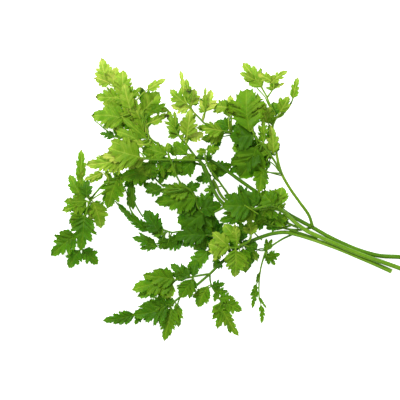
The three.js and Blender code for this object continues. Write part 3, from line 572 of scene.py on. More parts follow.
branch("frond_near_bright", (
    (247, 242.6, 10.8), (241, 245, 12.6), (236, 247.5, 13.6), (231, 247.5, 14),
), (
    (3, (229.5, 247, 14.5), (208.5, 244, 11.5), 19, FAN, LIGHT),
    (3, (223, 249.5, 13.5), (213.5, 260.5, 11.6), 9, CUT, PALE),
    (1, (238, 242, 14.2), (224, 224, 12), 15, FAN, LIGHT),
    (2, (235.5, 250, 14), (235, 277.5, 8), 20, OVATE, LIGHT),
    (1, (243, 249, 11), (246, 273, 5.5), 14, BROAD, MID),
    (0, (251.5, 234.5, 11), (249.5, 220.5, 9), 13, BROAD, PALE),
    (0, (249, 233, 10.5), (239, 222.5, 8.5), 8, BROAD, MID),
    (3, (228, 246, 14.2), (212.5, 232, 12), 13, BROAD, PALE),
    (3, (228, 249, 13), (208, 251.5, 10.5), 9, CUT, PALE),
    (1.6, (236, 239, 14), (235, 225, 12.5), 8, CUT, PALE),
    (1.8, (236, 240, 13.6), (235, 247, 13), 6, SLIM, DIM),
    (0.6, (246, 246, 10), (258, 246, 7.5), 11, BROAD, DARK),
    (0.8, (246, 250, 9), (249, 269.5, 4.5), 11, BROAD, DARK),
    (0.8, (252, 251, 8), (257, 261, 4.5), 8, CUT, LIGHT),
    (1, (243, 240, 10), (239.5, 225, 7.5), 13, BROAD, DARK),
    (1.4, (242, 243, 10), (234, 238.5, 9.5), 6, BROAD, DARK),
    (2.6, (235, 249, 12.5), (230, 246, 12), 5, SLIM, DARK),
    (3, (233.5, 247, 12), (229, 241, 11), 7, BROAD, DARK),
    (3, (231, 251, 11), (226.5, 249.5, 10), 4, SLIM, DARK),
    (1.2, (240, 252, 12.6), (248, 269, 10), 6, SLIM, FAIR),
    (3, (217.5, 252, 9.5), (214, 268, 6.5), 7, CUT, DARK),
))
branch("frond_sprig", (
    (293, 234.5, 3.2), (283, 239.2, 2.8), (275, 244.2, 2.8), (267, 250, 3), (264, 258, 2.8),
    (261.5, 267, 2.5), (259.9, 277, 2.2), (259.3, 288, 2), (259.6, 300, 1.8),
), (
    (3, (267, 251, 3.9), (266.5, 238.5, 3.2), 6, SLIM, MID),
    (3, (268, 249, 3.7), (272.5, 239, 3), 7, CUT, MID),
    (3, (269, 256.5, 3.4), (281, 254.3, 2.6), 10.5, CUT, MID),
    (3, (268.5, 254, 3), (275.5, 266, 2), 9, CUT, MID),
    (3.4, (266.5, 254, 3), (269.5, 265.5, 1.5), 7, SLIM, DARK),
    (3, (257, 249.5, 3.8), (243, 241, 3.5), 13, BROAD, DARK),
    (3, (256.5, 252, 3.2), (250.5, 265, 1.5), 10, CUT, DARK),
    (6, (256.6, 285, 2), (250.4, 296.5, 1), 5, CUT, MID),
    (7, (257, 290, 1.8), (252.6, 309, 1), 6, CUT, MID),
    (8, (261.2, 306, 1.7), (262, 324.5, 0.6), 6, CUT, MID),
    (8, (260, 298.5, 1.6), (267, 309, 1), 2.4, SLIM, MID),
    (5.6, (259, 274, 2.3), (256.5, 283, 1.6), 2.6, SLIM, MID),
))
branch("frond_near_left", (
    (217, 267, 8.7), (210, 274, 8), (203, 280, 7.4), (196, 286, 6.8), (188.5, 292, 6.2), (180.5, 297, 5.5),
    (173, 303.5, 4.8), (169.5, 307.5, 4.4),
), (
    (7, (168, 307, 4.8), (132, 315.5, 3.2), 22, FULL, DARK),
    (6.7, (134, 315.6, 1.4), (102, 321.5, 0.5), 12, FULL, DARK),
    (7, (171.5, 309, 3.6), (164, 342, 0.6), 18, LONG, FAIR),
    (5, (178, 306, 4), (178.5, 328, 0.9), 10, CUT, FAIR),
    (0, (222, 263, 6.2), (213, 268, 4), 9, SLIM, DARK),
    (7, (167, 308, 4), (143, 321, 1.6), 9, BROAD, DARK),
    (6.8, (168, 305, 5), (140, 306, 4), 12, FULL, DIM),
    (6.8, (152, 307, 4), (137.5, 307, 3.6), 4, SLIM, DIM),
    (7, (141, 315.5, 1), (134.5, 325.5, 0.6), 7, BROAD, DARK),
    (6.7, (128, 316.5, 1.6), (113, 324, 0.8), 6, BROAD, DARK),
    (7, (171, 313, 3.2), (170, 337, 0.8), 8, CUT, MID),
    (6, (176, 304, 4.4), (180, 321, 1.6), 6, BROAD, MID),
    (6.6, (173, 306, 4.6), (166, 297, 4), 9, BROAD, DARK),
))
branch("frond_near_left", (
    (210, 274, 8), (200, 275.5, 8.6), (190, 277.5, 8.6), (182, 279, 8.2), (175, 280.5, 8),
), (
    (3.6, (174, 279, 9.4), (142.5, 275, 7.5), 17, FULL, FAIR),
    (4, (174, 282, 7.6), (131, 290.5, 2.5), 21, FULL, FAIR),
    (3.8, (172, 284, 5.8), (158, 302.5, 2.2), 16, BROAD, BRIGHT),
    (2, (190, 277, 9), (170, 264, 5.5), 15, CUT, DARK),
    (2, (192.5, 279.5, 9), (180.5, 298, 7), 15, FAN, MID),
    (4, (172.5, 283, 6.6), (136.5, 297, 2), 17, FULL, MID),
    (3.8, (172, 280, 8.4), (156, 269.5, 6.5), 13, BROAD, MID),
    (2, (194, 280, 8.4), (189, 299, 6), 9, CUT, MID),
    (2.2, (188, 276.5, 8), (182, 266, 5.6), 12, BROAD, DARK),
    (1.4, (193, 276, 8), (196, 260, 5), 10, BROAD, DARK),
    (2.4, (185, 278, 8), (171, 273.5, 6), 9, BROAD, DARK),
))
branch("frond_near_left", (
    (210, 274, 8), (210.2, 280, 7.4), (211.5, 285.5, 7), (215, 292, 6.4), (220, 300, 5.8), (225, 307, 5.2),
    (228, 311.5, 4.8),
), (
    (2, (208, 286.5, 6.8), (198, 307.5, 3), 13.5, FAN, FAIR),
    (2, (212.5, 286, 7.4), (225, 283.5, 6), 11, CUT, DARK),
    (3, (215, 291, 6.6), (228.5, 291.5, 5), 10, CUT, MID),
    (3.7, (220, 298, 6), (235, 299, 4.4), 10, CUT, MID),
    (5, (226, 304, 5.4), (242, 311.5, 3), 13, BROAD, FAIR),
    (4.3, (220.5, 303, 4.6), (217.5, 330, 0.8), 16, CUT, FAIR),
    (5.4, (222.5, 311, 4.8), (239, 337, 0.5), 9.5, FULL, FAIR),
    (2, (208, 289, 5.6), (192.5, 297.5, 4), 8, CUT, MID),
    (3.4, (218, 294, 5.6), (214.5, 302, 4), 7, SLIM, MID),
    (4, (221, 306, 5), (213, 318.5, 2.4), 8, CUT, MID),
    (5.4, (224, 312, 4), (230.5, 334.5, 1), 9, CUT, MID),
    (4.4, (223, 303, 5), (237, 305.5, 3.4), 8, BROAD, MID),
))

# Thin stems beside the petioles: radius in millimetres, how light each is, and its way
STRANDS = {
    "frond_crown": ((0.3, MID, ((94, 120, 6), (100, 125, 7), (106, 130, 8), (113, 134, 9))),),
    "frond_upper_right": (
        (0.36, FAIR, (
            (281, 175.5, 10), (274, 173.6, 10.5), (268, 171.8, 11), (262, 168, 11.5), (259, 165, 11.5),
        )),
        (0.3, LIGHT, ((257, 87.5, 6), (261, 92, 7), (265, 96.8, 7.8), (267.6, 103, 8.4), (270, 107.5, 8.8))),
        (0.32, FAIR, ((278.5, 171, 10.6), (275, 166, 11.4), (270, 162, 12), (266, 161, 12))),
        (0.4, MID, (
            (277, 118, 9), (282.8, 114, 8.6), (288, 108.6, 7.8), (291.4, 103, 6.6), (293.4, 97.5, 5.4),
        )),
    ),
    "frond_left": (
        (0.34, LIGHT, ((91, 200, 10.5), (97, 196, 10.8), (104, 191.5, 11))),
        (0.45, DARK, ((146, 170.5, 12), (153, 176, 11), (158, 181.5, 10.4), (164, 187, 10))),
        (0.3, MID, ((124, 186, 10), (127, 194, 8), (128.5, 199, 7), (131.5, 207, 5))),
        (0.3, DARK, ((115, 201, 7), (122, 210, 5), (130, 217, 4))),
        (0.4, DARK, ((128.5, 203, 5), (130, 209, 4.6), (133, 214, 4.2), (137, 219, 3.8))),
        (0.4, DARK, ((133, 186, 10), (134.5, 202, 7), (138, 209.5, 5.5), (142.5, 217, 4))),
    ),
    "frond_small_top": (
        (0.7, FAIR, (
            (229, 203, 12.2), (223, 198, 12.6), (219, 192, 13.4), (216.5, 186, 14.5), (213, 180, 15.5),
        )),
        (0.5, DARK, ((200.5, 160, 17.6), (202, 165, 17), (204, 171, 16.4), (207.5, 177, 15.8))),
    ),
    "frond_right": ((0.28, LIGHT, ((244, 205, 18.3), (251, 209.5, 18.2), (258, 214, 17))),),
    "frond_under": (
        (0.6, DARK, ((290, 229.8, 5.4), (304, 234.4, 4), (318, 239, 2.6))),
        (0.6, DARK, ((299, 228, 5), (292, 225, 5.6), (285, 222, 6))),
        (0.6, DARK, ((291, 225.6, 5), (284, 227.6, 5.4), (277, 229.4, 5.8))),
        (0.36, MID, ((262, 240, 6.5), (257, 235.5, 8), (253, 231, 9.5))),
    ),
    "frond_near_left": (
        (0.36, DEEP, ((209, 275, 8), (202, 281, 7.4), (195, 287, 6.8))),
        (0.36, DARK, ((179.5, 299, 5.6), (178, 303, 5), (177, 308, 4.4))),
    ),
}

# How light each stalk is, from its cut end to its tip, with painted shade darkening it where it runs in under
# the leaves, and the petioles that aren't of the middle tone
STALK_TONES = {
    "stalk_upper": (0.2, 0.1, 0.26, 0.04, 0.2, 0.0, -0.1),
    "stalk_middle": (0.36, 0.3, 0.34, 0.36, 0.26, 0.1, 0.0),
    "stalk_lower": (0.36, 0.36, 0.5, 0.4, 0.0, -0.15, -0.1),
}
PETIOLE_TONES = {
    "frond_upper_right": (0.4, 0.6, 0.7, 0.6),
    "frond_sprig": (0.3, 0.5, 0.6),
    "frond_left": (0.3, 0.4, 0.4),
    "frond_centre": (0.3, 0.5),
    "frond_near_left": DARK,
    "frond_under": DARK,
    "frond_lower_middle": DARK,
}

# The petioles that are thicker or thinner than the rest, as a share, one for each of the frond's branches
PETIOLE_SPREAD = {
    "frond_upper_right": (1.3, 0.9, 0.8),
    "frond_near_left": (1.15, 0.9, 0.8),
    "frond_sprig": (0.85,),
}


def on_sheet(row):
    x, y, height = row
    return np.array([(x - SHEET_CENTRE[0]) * GRID, (SHEET_CENTRE[1] - y) * GRID, height])


def spread(x, y):
    """A repeatable number from -1 to 1 for each place on the sheet."""
    of_x, of_y, height = SPREAD_WAVE
    wave = math.sin(x * of_x + y * of_y) * height
    return 2 * (wave - math.floor(wave)) - 1


def unit(vector):
    return vector / np.linalg.norm(vector, axis=-1, keepdims=True)


def turned(vector, axis, angle):
    """A vector turned by an angle about a unit axis at right angles to it."""
    return vector * math.cos(angle) + np.cross(axis, vector) * math.sin(angle)


class Way:
    """A smooth curve through points, the same as the frame's branches follow. Place i is its point i."""

    def __init__(self, rows):
        self.points = [on_sheet(row) for row in rows]

    def at(self, place):
        points = self.points
        last = len(points) - 1
        number = min(int(place), last - 1)
        share = place - number
        here, there = points[number], points[number + 1]
        before = points[number - 1] if number > 0 else 2 * here - there
        after = points[number + 2] if number + 2 <= last else 2 * there - here
        gaps = ((before, here), (here, there), (there, after))
        first, second, third = (np.linalg.norm(end - start) ** 0.5 for start, end in gaps)
        leaving = (here - before) / first - (there - before) / (first + second) + (there - here) / second
        arriving = (there - here) / second - (after - here) / (second + third) + (after - there) / third
        leaving, arriving, step = leaving * second, arriving * second, there - here
        bent = (3 * step - 2 * leaving - arriving) * share**2 + (leaving + arriving - 2 * step) * share**3
        return here + leaving * share + bent

    def line(self, steps_each):
        last = len(self.points) - 1
        return np.array([self.at(place) for place in np.linspace(0, last, last * steps_each + 1)])


def bent_line(start, turn, end, steps):
    """A line that leaves its start towards the turn and comes to its end from there."""
    share = np.linspace(0, 1, steps + 1)[:, None]
    return (1 - share) ** 2 * start + 2 * share * (1 - share) * turn + share**2 * end


def bruised(points):
    """How bruised each point is, from 0 to 1."""
    found = np.zeros(len(points), np.float32)
    for x, y, radius in BRUISES:
        middle = on_sheet((x, y, 0))[:2] * MM
        away = np.linalg.norm(points[:, :2] - middle, axis=1) / (radius * GRID * MM)
        found = np.maximum(found, np.clip(BRUISE_EDGE - away, 0, 1))
    return found.astype(np.float32)


class Piece:
    """Collects the vertices, faces and surface values of one piece of the scene."""

    def __init__(self):
        self.points = []
        self.faces = []
        self.values = {"place": [], "tone": [], "under": [], "stem": []}
        self.count = 0

    def add(self, points, faces, place, tone, under, stem):
        number = len(points)
        self.points.append(points)
        self.faces.append(np.asarray(faces) + self.count)
        self.values["place"].append(np.broadcast_to(place, (number, 3)))
        for name, value in (("tone", tone), ("under", under), ("stem", stem)):
            self.values[name].append(np.broadcast_to(value, (number,)))
        self.count += number

    def build(self, name, material):
        points = np.concatenate(self.points) * MM
        faces = np.concatenate(self.faces)
        starts = np.arange(0, faces.size, faces.shape[1], dtype=np.int32)
        mesh = bpy.data.meshes.new(name)
        mesh.vertices.add(len(points))
        mesh.vertices.foreach_set("co", points.astype(np.float32).ravel())
        mesh.loops.add(faces.size)
        mesh.loops.foreach_set("vertex_index", faces.astype(np.int32).ravel())
        mesh.polygons.add(len(faces))
        mesh.polygons.foreach_set("loop_start", starts)
        mesh.update(calc_edges=True)
        mesh.validate()
        mesh.polygons.foreach_set("use_smooth", np.ones(len(mesh.polygons), bool))
        place = mesh.attributes.new("place", "FLOAT_VECTOR", "POINT")
        place.data.foreach_set("vector", np.concatenate(self.values["place"]).astype(np.float32).ravel())
        for key in ("tone", "under", "stem"):
            value = mesh.attributes.new(key, "FLOAT", "POINT")
            value.data.foreach_set("value", np.concatenate(self.values[key]).astype(np.float32))
        mesh.attributes.new("bruise", "FLOAT", "POINT").data.foreach_set("value", bruised(points))
        mesh.materials.append(material)
        obj = bpy.data.objects.new(name, mesh)
        bpy.context.scene.collection.objects.link(obj)
        return obj


def grid_faces(rows, columns, closed):
    """Quads over a grid of points. A closed grid's last column joins its first."""
    wide = columns if closed else columns - 1
    row, column = np.meshgrid(np.arange(rows - 1), np.arange(wide), indexing="ij")
    right = (column + 1) % columns
    here = row * columns
    above = here + columns
    return np.stack([here + column, here + right, above + right, above + column], -1).reshape(-1, 4)


def tube(piece, line, radii, sides, ribs=0.0, tone=MID, cut_end=False):
    """A rod along a line, with ribs along it. A stalk's first end is hollowed where it was cut. The tone is
    one value, or several that are spread along the line."""
    ahead = unit(np.gradient(line, axis=0))
    side = unit(np.cross(ahead, np.array([0.0, 0.0, 1.0])))
    up = np.cross(side, ahead)
    turn = np.linspace(0, 2 * math.pi, sides, endpoint=False)
    ridge = 1 + ribs * np.cos(RIBS * turn)
    ring = np.cos(turn)[None, :, None] * side[:, None] + np.sin(turn)[None, :, None] * up[:, None]
    skin = line[:, None] + ring * (np.asarray(radii)[:, None] * ridge[None])[..., None]
    rows = [skin]
    first_rings = CUT_RINGS if cut_end else ((END_RING, 0),)
    for share, sunk in first_rings:
        inner = line[0] + (skin[0] - line[0]) * share + ahead[0] * sunk
        rows.insert(0, inner[None])
    rows.append((line[-1] + (skin[-1] - line[-1]) * END_RING)[None])
    points = np.concatenate(rows)

    shape = (len(points), sides)
    along = np.linalg.norm(np.diff(points.mean(1), axis=0), axis=1)
    along = np.concatenate([[0.0], np.cumsum(along)])
    rib = 0.5 + 0.5 * np.cos(RIBS * turn)
    # How high each point lies on the ring; the stalk's material uses this for painted light on its upper side
    height = 0.5 + 0.5 * np.sin(turn)
    place = np.stack([np.broadcast_to(value, shape) for value in (along[:, None], rib, height)], -1)
    tones = np.interp(along, along[[0, -1]], [0, 1])
    tones = np.interp(tones, np.linspace(0, 1, np.size(tone)), np.ravel(tone))
    faces = grid_faces(*shape, True)
    piece.add(points.reshape(-1, 3), faces, place.reshape(-1, 3), np.repeat(tones, sides), 0.0, 1.0)


def envelope(share, kind):
    """How far a blade reaches out, as a share of its half width, at a share of its length."""
    if share < kind.widest:
        return (share / kind.widest) ** kind.base
    return ((1 - share) / (1 - kind.widest)) ** kind.taper


def lobe_corners(kind, side, seed, length, half):
    """The corners of one side of a blade, from its base to its tip, and the gap between two lobes as a share
    of the length. Each corner is a phase, which is a whole number on a lobe's tip, where its row starts on
    the midrib, and where it lies on the margin, along and out."""
    first = kind.widest * FIRST_LOBE
    gap = (LAST_LOBE - first) / kind.lobes
    corners = [(0.0, 0.0, 0.0, BASE_HALF)]
    for lobe in range(kind.lobes):
        share = first + gap * (lobe + LOBE_SHIFT * spread(seed + lobe, side + SHIFT_DRAW))
        reach = 1 + LOBE_SPREAD * spread(seed - lobe, side + REACH_DRAW)
        out = half * envelope(share, kind) * reach
        vein = LAST_VEIN * share**VEIN_BEND
        corners.append((lobe + 1.0, vein * length, share * length, out))
        lean = (share - vein) * length / out
        varied = FIRST_CUT - CUT_STEP * lobe + CUT_SPREAD * spread(seed + 2 * lobe, side + CUT_DRAW)
        depth = min(DEEPEST_CUT, kind.cut * varied)
        notch = share + NOTCH_PLACE * gap
        inner = half * envelope(notch, kind) * (1 - depth)
        along = notch * length - NOTCH_LEAN * lean * max(0.0, out - inner)
        vein = LAST_VEIN * (share + 0.5 * gap) ** VEIN_BEND
        corners.append((lobe + 1.5, vein * length, along, inner))
    corners.append((kind.lobes + 1.0, TIP_VEIN * length, length, TIP_HALF))
    return np.array(corners), gap


def half_blade(kind, side, seed, length, half):
    """One side of a flat blade in rows from its base to its tip, with the same four values as its corners."""
    corners, gap = lobe_corners(kind, side, seed, length, half)
    deepest = kind.depth * min(TOOTH_OF_GAP * gap * length, TOOTH_OF_HALF * half)
    edges = [(FAR_EDGE if number % 2 else kind.teeth, BULGE) for number in range(len(corners) - 1)]
    edges[0] = (kind.base_teeth, BASE_BULGE)
    edges[-1] = (LAST_EDGE, LAST_BULGE)
    rows = []
    for (edge, swell), here, there in zip(edges, corners[:-1], corners[1:]):
        share, crest = np.array(edge, float).T
        row = here + (there - here) * share[:, None]
        reach = np.linalg.norm(there[2:] - here[2:])
        run = (there[2:] - here[2:]) / reach
        outward = np.array([-run[1], run[0]])
        bulge = swell * reach * np.sin(np.pi * share)
        bite = deepest * crest
        row[:, 2:] += outward * (bulge + bite)[:, None] + run * (TOOTH_LEAN * bite)[:, None]
        rows.append(row)
    return np.concatenate(rows).T


def flat_blade(kind, seed, length, half):
    """A flat blade's grid of points: how far forward each lies as a share of the length, how far sideways in
    millimetres, how near the margin, from 0 to 1, and its phase."""
    share = np.linspace(0, 1, STEPS_ACROSS + 1)
    forward = []
    sideways = []
    for side in (-1, 1):
        phase, vein, along, out = half_blade(kind, side, seed, length, half)
        forward.append((vein[:, None] + (along - vein)[:, None] * share**VEIN_CURVE) / length)
        sideways.append(side * np.maximum(out, LEAST_HALF)[:, None] * share)
    forward, sideways = (np.concatenate([left[:, :0:-1], right], 1) for left, right in (forward, sideways))
    near = np.broadcast_to(np.abs(np.linspace(-1, 1, 2 * STEPS_ACROSS + 1)), forward.shape)
    phases = np.broadcast_to(phase[:, None], forward.shape)
    return forward, sideways, near, phases


def relief(blade, seed, half):
    """How far each point of a blade stands up: quilting between the veins, waves that grow to the margin, and
    a margin that curls down."""
    forward, sideways, near, phases = blade
    size = min(MOST_RELIEF, RELIEF_SHARE * half)
    quilt = np.cos(2 * np.pi * phases) * np.sin(np.pi * np.clip(near * QUILT_REACH, 0, 1))
    waves = near**2 * np.sin(np.pi * phases + seed * WAVE_SEED + WAVE_APART * np.sign(sideways))
    curl = near**3 * (1 - CURL_SPREAD + CURL_SPREAD * math.sin(seed * CURL_SEED)) * np.sin(np.pi * forward)
    return size * (WAVE * waves - QUILT * quilt - CURL * curl)


def thickened(piece, sheet, blade, above, tones):
    """Adds a blade's upper and lower surfaces, and the rim between them."""
    forward, sideways, near, phases = blade
    away = np.cross(np.gradient(sheet, axis=0), np.gradient(sheet, axis=1))
    normal = unit(away + above * TINY)
    normal = normal * np.sign((normal * above).sum(-1, keepdims=True))
    thick = MARGIN_THICKNESS + (BLADE_THICKNESS - MARGIN_THICKNESS) * (1 - near**3)
    midrib = MIDRIB_RELIEF * np.exp(-((sideways / MIDRIB_HALF) ** 2)) * (1 - MIDRIB_TAPER * forward)
    upper = sheet + normal * (thick / 2)[..., None]
    lower = sheet - normal * (thick / 2 + midrib)[..., None]

    count = forward.size
    faces = grid_faces(*forward.shape, False)
    number = np.arange(count).reshape(forward.shape)
    loop = np.concatenate([number[0, :-1], number[:-1, -1], number[-1, :0:-1], number[:0:-1, 0]])
    following = np.roll(loop, -1)
    rim = np.stack([loop, loop + count, following + count, following], -1)
    place = np.stack([phases, near, np.abs(sideways)], -1).reshape(-1, 3)
    piece.add(
        np.concatenate([upper.reshape(-1, 3), lower.reshape(-1, 3)]),
        np.concatenate([faces[:, ::-1], faces + count, rim]),
        np.concatenate([place, place]),
        np.tile(tones.ravel(), 2),
        np.repeat([0.0, 1.0], count),
        0.0,
    )


def leaflet(piece, way, row):
    """One blade with the arch and fold of the frame's blade, on its twig."""
    start, base_row, tip_row, width, kind, tone = row
    base = on_sheet(base_row)
    chord = on_sheet(tip_row) - base
    length = np.linalg.norm(chord)
    ahead = chord / length
    roll = math.radians(MOST_ROLL * spread(base_row[0], base_row[1]))
    fold = math.radians(FOLD + FOLD_SPREAD * spread(tip_row[0], base_row[1]))
    arch = ARCH + ARCH_SPREAD * spread(tip_row[0], tip_row[1])
    seed = base_row[0] * SEED_SHARES[0] + tip_row[1] * SEED_SHARES[1]
    half = BLADE_SPREAD * width * GRID / 2

    across = turned(unit(np.cross([0.0, 0.0, 1.0], ahead)), ahead, roll)
    above = np.cross(ahead, across)
    blade = flat_blade(kind, seed, length, half)
    forward, sideways, near, _ = blade
    rise = arch * length * np.sin(np.pi * forward) + np.abs(sideways) * math.tan(fold)
    rise = rise + relief(blade, seed, half)
    bow = BOW * length * spread(seed, BOW_DRAW) * np.sin(np.pi * np.clip(forward, 0, 1))
    sheet = base + chord * forward[..., None] + across * (sideways + bow)[..., None] + above * rise[..., None]
    tones = tone + TONE_SPREAD * spread(seed, TONE_DRAW)
    # Painted light and shade: lighter towards the tip and the margin, darker at the base and along the middle
    tones = tones + TONE_ALONG * (forward - TONE_ALONG_MIDDLE) + TONE_ACROSS * (near - TONE_ACROSS_MIDDLE)
    thickened(piece, sheet, blade, above, tones)

    root = way.at(start)
    turn = base - ahead * min(TWIG_BEND * np.linalg.norm(base - root), LONGEST_BEND)
    twig = bent_line(root, turn, base, TWIG_STEPS)
    inside = base + chord * TWIG_REACH + above * (rise[TWIG_ROW, STEPS_ACROSS] - TWIG_SUNK)
    twig = np.concatenate([twig, [inside]])
    tube(piece, twig, np.linspace(TWIG_RADIUS, TWIG_TIP_RADIUS, len(twig)), TWIG_SIDES, 0.0, tone)


def frond(name, branches, material):
    piece = Piece()
    shares = PETIOLE_SPREAD.get(name, (1,) * len(branches))
    for share, (rows, leaflets) in zip(shares, branches):
        way = Way(rows)
        line = way.line(PETIOLE_STEPS)
        radii = np.linspace(PETIOLE_RADIUS, PETIOLE_TIP_RADIUS, len(line)) * share
        tube(piece, line, radii, PETIOLE_SIDES, PETIOLE_RIB, PETIOLE_TONES.get(name, MID))
        for row in leaflets:
            leaflet(piece, way, row)
    for radius, tone, rows in STRANDS.get(name, ()):
        line = Way(rows).line(STRAND_STEPS)
        tube(piece, line, np.full(len(line), radius), STRAND_SIDES, 0.0, tone)
    obj = piece.build("leafy_" + name, material)
    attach(obj, "root")
    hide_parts(name)


def stalk(name, rows, material):
    piece = Piece()
    line = Way(rows).line(STALK_STEPS)
    radii = np.linspace(STALK_RADIUS, STALK_TIP_RADIUS, len(line))
    tube(piece, line, radii, STALK_SIDES, STALK_RIB, STALK_TONES[name], True)
    obj = piece.build("ribbed_" + name, material)
    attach(obj, "root")
    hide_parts(name)


def srgb(red, green, blue):
    """A colour given as it looks on screen, from 0 to 255, as the linear values that a shader takes."""
    shares = (colour / 255 for colour in (red, green, blue))
    linear = [share / 12.92 if share <= 0.04045 else ((share + 0.055) / 1.055) ** 2.4 for share in shares]
    return linear + [1.0]


class Shader:
    """Short calls for building a material's nodes."""

    def __init__(self, name):
        self.material = bpy.data.materials.new(name)
        self.material.use_nodes = True
        self.tree = self.material.node_tree
        self.surface = self.tree.nodes["Principled BSDF"]

    def node(self, kind, **settings):
        made = self.tree.nodes.new(kind)
        for key, value in settings.items():
            setattr(made, key, value)
        return made

    def plug(self, socket, value):
        if isinstance(value, bpy.types.NodeSocket):
            self.tree.links.new(value, socket)
        else:
            socket.default_value = value

    def fill(self, made, inputs):
        for key, value in inputs.items():
            self.plug(made.inputs[key], value)

    def attribute(self, name, output="Fac"):
        return self.node("ShaderNodeAttribute", attribute_name=name).outputs[output]

    def parts(self, name):
        """The three values of an attribute that is a vector."""
        made = self.node("ShaderNodeSeparateXYZ")
        self.plug(made.inputs[0], self.attribute(name, "Vector"))
        return made.outputs

    def maths(self, operation, *values):
        made = self.node("ShaderNodeMath", operation=operation)
        for socket, value in zip(made.inputs, values):
            self.plug(socket, value)
        return made.outputs[0]

    def times(self, first, second):
        return self.maths("MULTIPLY", first, second)

    def from_whole(self, value):
        """How far a value is from the nearest whole number."""
        share = self.maths("FRACT", self.maths("ADD", value, 0.5))
        return self.maths("ABSOLUTE", self.maths("SUBTRACT", share, 0.5))

    def shifted(self, tone, value, by, middle=0.0):
        """The tone, raised by so much for each one that the value lies above its middle."""
        if middle:
            value = self.maths("SUBTRACT", value, middle)
        return self.maths("ADD", tone, self.times(value, by))

    def ranged(self, value, low, high, to_low=0.0, to_high=1.0):
        made = self.node("ShaderNodeMapRange", interpolation_type="SMOOTHSTEP")
        limits = {"From Min": low, "From Max": high, "To Min": to_low, "To Max": to_high}
        self.fill(made, {**limits, "Value": value})
        return made.outputs["Result"]

    def noise(self, scale, detail, roughness):
        where = self.node("ShaderNodeTexCoord").outputs["Object"]
        made = self.node("ShaderNodeTexNoise")
        self.fill(made, {"Scale": scale, "Detail": detail, "Roughness": roughness, "Vector": where})
        return made.outputs["Fac"]

    def ramp(self, value, stops):
        made = self.node("ShaderNodeValToRGB")
        elements = made.color_ramp.elements
        while len(elements) < len(stops):
            elements.new(0.5)
        for element, (position, colour) in zip(elements, stops):
            element.position = position
            element.color = colour
        self.plug(made.inputs["Fac"], value)
        return made.outputs["Color"]

    def blend(self, share, first, second):
        made = self.node("ShaderNodeMix", data_type="RGBA")
        self.fill(made, {"Factor": share, "A": first, "B": second})
        return made.outputs["Result"]

    def bump(self, height, distance):
        made = self.node("ShaderNodeBump")
        self.fill(made, {"Strength": 1.0, "Distance": distance, "Height": height})
        self.plug(self.surface.inputs["Normal"], made.outputs["Normal"])


def greens(stops):
    return [(position, srgb(*colour)) for position, colour in stops]


def leaf_material():
    shader = Shader("chervil_leaf")
    phase, near, sideways = shader.parts("place")
    stem = shader.attribute("stem")
    blade = shader.maths("SUBTRACT", 1.0, stem)

    # Side veins run out along whole phases, two finer ones between each two, and the midrib along the middle
    apart = shader.from_whole(phase)
    side_vein = shader.ranged(apart, 0.0, SIDE_VEIN, to_low=1.0, to_high=0.0)
    side_vein = shader.times(side_vein, shader.ranged(near, 0.5, 1.0, to_low=1.0, to_high=0.25))
    fine = shader.from_whole(shader.times(phase, FINE_VEINS))
    fine_vein = shader.ranged(fine, 0.0, FINE_VEIN, to_low=1.0, to_high=0.0)
    fine_vein = shader.times(fine_vein, shader.ranged(near, 0.15, 0.6, to_high=0.5))
    midrib = shader.ranged(sideways, *MIDRIB_EDGE, to_low=1.0, to_high=0.0)
    vein = shader.times(shader.maths("MAXIMUM", midrib, shader.maths("MAXIMUM", side_vein, fine_vein)), blade)
    groove = shader.times(shader.times(shader.ranged(apart, 0.2, 0.5), shader.ranged(near, 0.1, 0.6)), blade)

    patches = shader.noise(scale=240.0, detail=2.0, roughness=0.5)
    grain = shader.noise(scale=2600.0, detail=2.0, roughness=0.6)
    tone = shader.shifted(shader.attribute("tone"), patches, by=0.34, middle=0.5)
    tone = shader.shifted(tone, grain, by=0.12, middle=0.5)
    tone = shader.shifted(tone, vein, by=0.16)
    tone = shader.shifted(tone, groove, by=-0.12)
    tone = shader.shifted(tone, shader.attribute("under"), by=0.14)
    colour = shader.ramp(tone, greens(LEAF_GREENS))

    blotches = shader.times(shader.noise(scale=900.0, detail=3.0, roughness=0.7), 1.4)
    bruise = shader.ranged(shader.times(shader.attribute("bruise"), blotches), 0.35, 0.75)
    colour = shader.blend(bruise, colour, srgb(*BRUISE_COLOUR))
    colour = shader.blend(shader.times(shader.times(near, stem), RIB_SHARE), colour, srgb(*RIB_COLOUR))
    shader.fill(shader.surface, {
        "Base Color": colour,
        "Roughness": shader.ranged(grain, 0.3, 0.7, to_low=0.42, to_high=0.62),
        "Subsurface Weight": 0.25,
        "Subsurface Radius": (0.5, 1.0, 0.15),
        "Subsurface Scale": 0.0012,
        "Specular IOR Level": 0.1,
    })
    shader.bump(shader.maths("ADD", shader.times(vein, -0.6), shader.times(grain, 0.5)), distance=0.00012)
    return shader.material


def stalk_material():
    shader = Shader("chervil_stalk")
    along, rib, height = shader.parts("place")
    streaks = shader.noise(scale=700.0, detail=3.0, roughness=0.6)
    patches = shader.noise(scale=60.0, detail=2.0, roughness=0.5)
    # Painted light: each stalk's upper side is made lighter and its underside darker. The rib crests are made
    # lighter than the grooves between them.
    tone = shader.shifted(shader.attribute("tone"), rib, by=0.16, middle=0.5)
    tone = shader.shifted(tone, height, by=0.5, middle=0.6)
    tone = shader.shifted(tone, patches, by=0.5, middle=0.5)
    tone = shader.shifted(tone, streaks, by=0.3, middle=0.5)
    pith = shader.ranged(along, *PITH_EDGE, to_low=1.0, to_high=0.0)
    colour = shader.ramp(tone, greens(STALK_GREENS))
    shader.fill(shader.surface, {
        "Base Color": shader.blend(shader.times(pith, PITH_SHARE), colour, srgb(*PITH_COLOUR)),
        "Roughness": shader.ranged(streaks, 0.3, 0.7, to_low=0.34, to_high=0.5),
        "Subsurface Weight": 0.2,
        "Subsurface Radius": (0.6, 1.0, 0.25),
        "Subsurface Scale": 0.0015,
        "Specular IOR Level": 0.15,
    })
    shader.bump(streaks, distance=0.00008)
    return shader.material


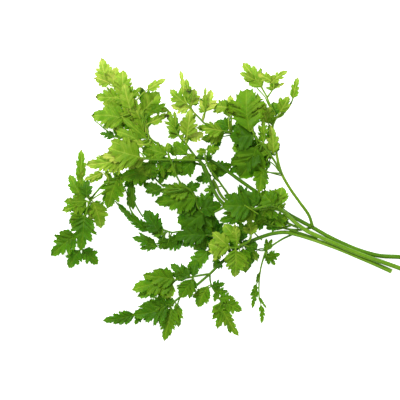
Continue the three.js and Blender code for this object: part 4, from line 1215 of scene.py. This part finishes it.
def surface_material():
    shader = Shader("pale_surface")
    soft = shader.noise(scale=12.0, detail=2.0, roughness=0.5)
    shader.fill(shader.surface, {
        "Base Color": shader.ramp(soft, ((0.3, (0.9, 0.9, 0.9, 1)), (0.7, (0.93, 0.93, 0.93, 1)))),
        "Roughness": 0.8,
        "Specular IOR Level": 0.1,
        "Emission Color": WHITE,
        "Emission Strength": 0.9,
    })
    return shader.material


def floor():
    mesh = bpy.data.meshes.new("surface")
    half = FLOOR_HALF
    corners = [(-half, -half, 0), (half, -half, 0), (half, half, 0), (-half, half, 0)]
    mesh.from_pydata(corners, [], [(0, 1, 2, 3)])
    mesh.materials.append(surface_material())
    obj = bpy.data.objects.new("surface", mesh)
    bpy.context.scene.collection.objects.link(obj)


def area_light(name, place, size, energy):
    data = bpy.data.lights.new(name, "AREA")
    data.shape = "DISK"
    data.size = size
    data.energy = energy
    obj = bpy.data.objects.new(name, data)
    obj.location = place
    obj.rotation_mode = "QUATERNION"
    obj.rotation_quaternion = (Vector(MIDDLE) - Vector(place)).to_track_quat("-Z", "Y")
    bpy.context.scene.collection.objects.link(obj)


def lights():
    area_light("key", place=(-0.6, 0.7, 1.0), size=0.35, energy=17)
    area_light("fill", place=(0.9, -0.5, 1.0), size=1.2, energy=3)
    world = bpy.data.worlds.new("studio")
    world.use_nodes = True
    background = world.node_tree.nodes["Background"]
    background.inputs["Color"].default_value = WHITE
    background.inputs["Strength"].default_value = SKY_STRENGTH
    bpy.context.scene.world = world


def camera():
    """Straight above the bunch, far away, so that heights hardly shift anything."""
    data = bpy.data.cameras.new("camera")
    data.sensor_width = SENSOR_WIDTH
    data.lens = LENS
    height = VIEW_WIDTH * GRID * MM * data.lens / data.sensor_width
    x, y, _ = on_sheet((*VIEW_CENTRE, 0)) * MM
    obj = bpy.data.objects.new("camera", data)
    obj.location = (x, y, MIDDLE[2] + height)
    bpy.context.scene.collection.objects.link(obj)
    bpy.context.scene.camera = obj


camera()
lights()
floor()
leaf = leaf_material()
stem_skin = stalk_material()
for name, rows in STALKS.items():
    stalk(name, rows, stem_skin)
for name, branches in FRONDS.items():
    frond(name, branches, leaf)
bpy.context.scene.view_settings.view_transform = "Standard"
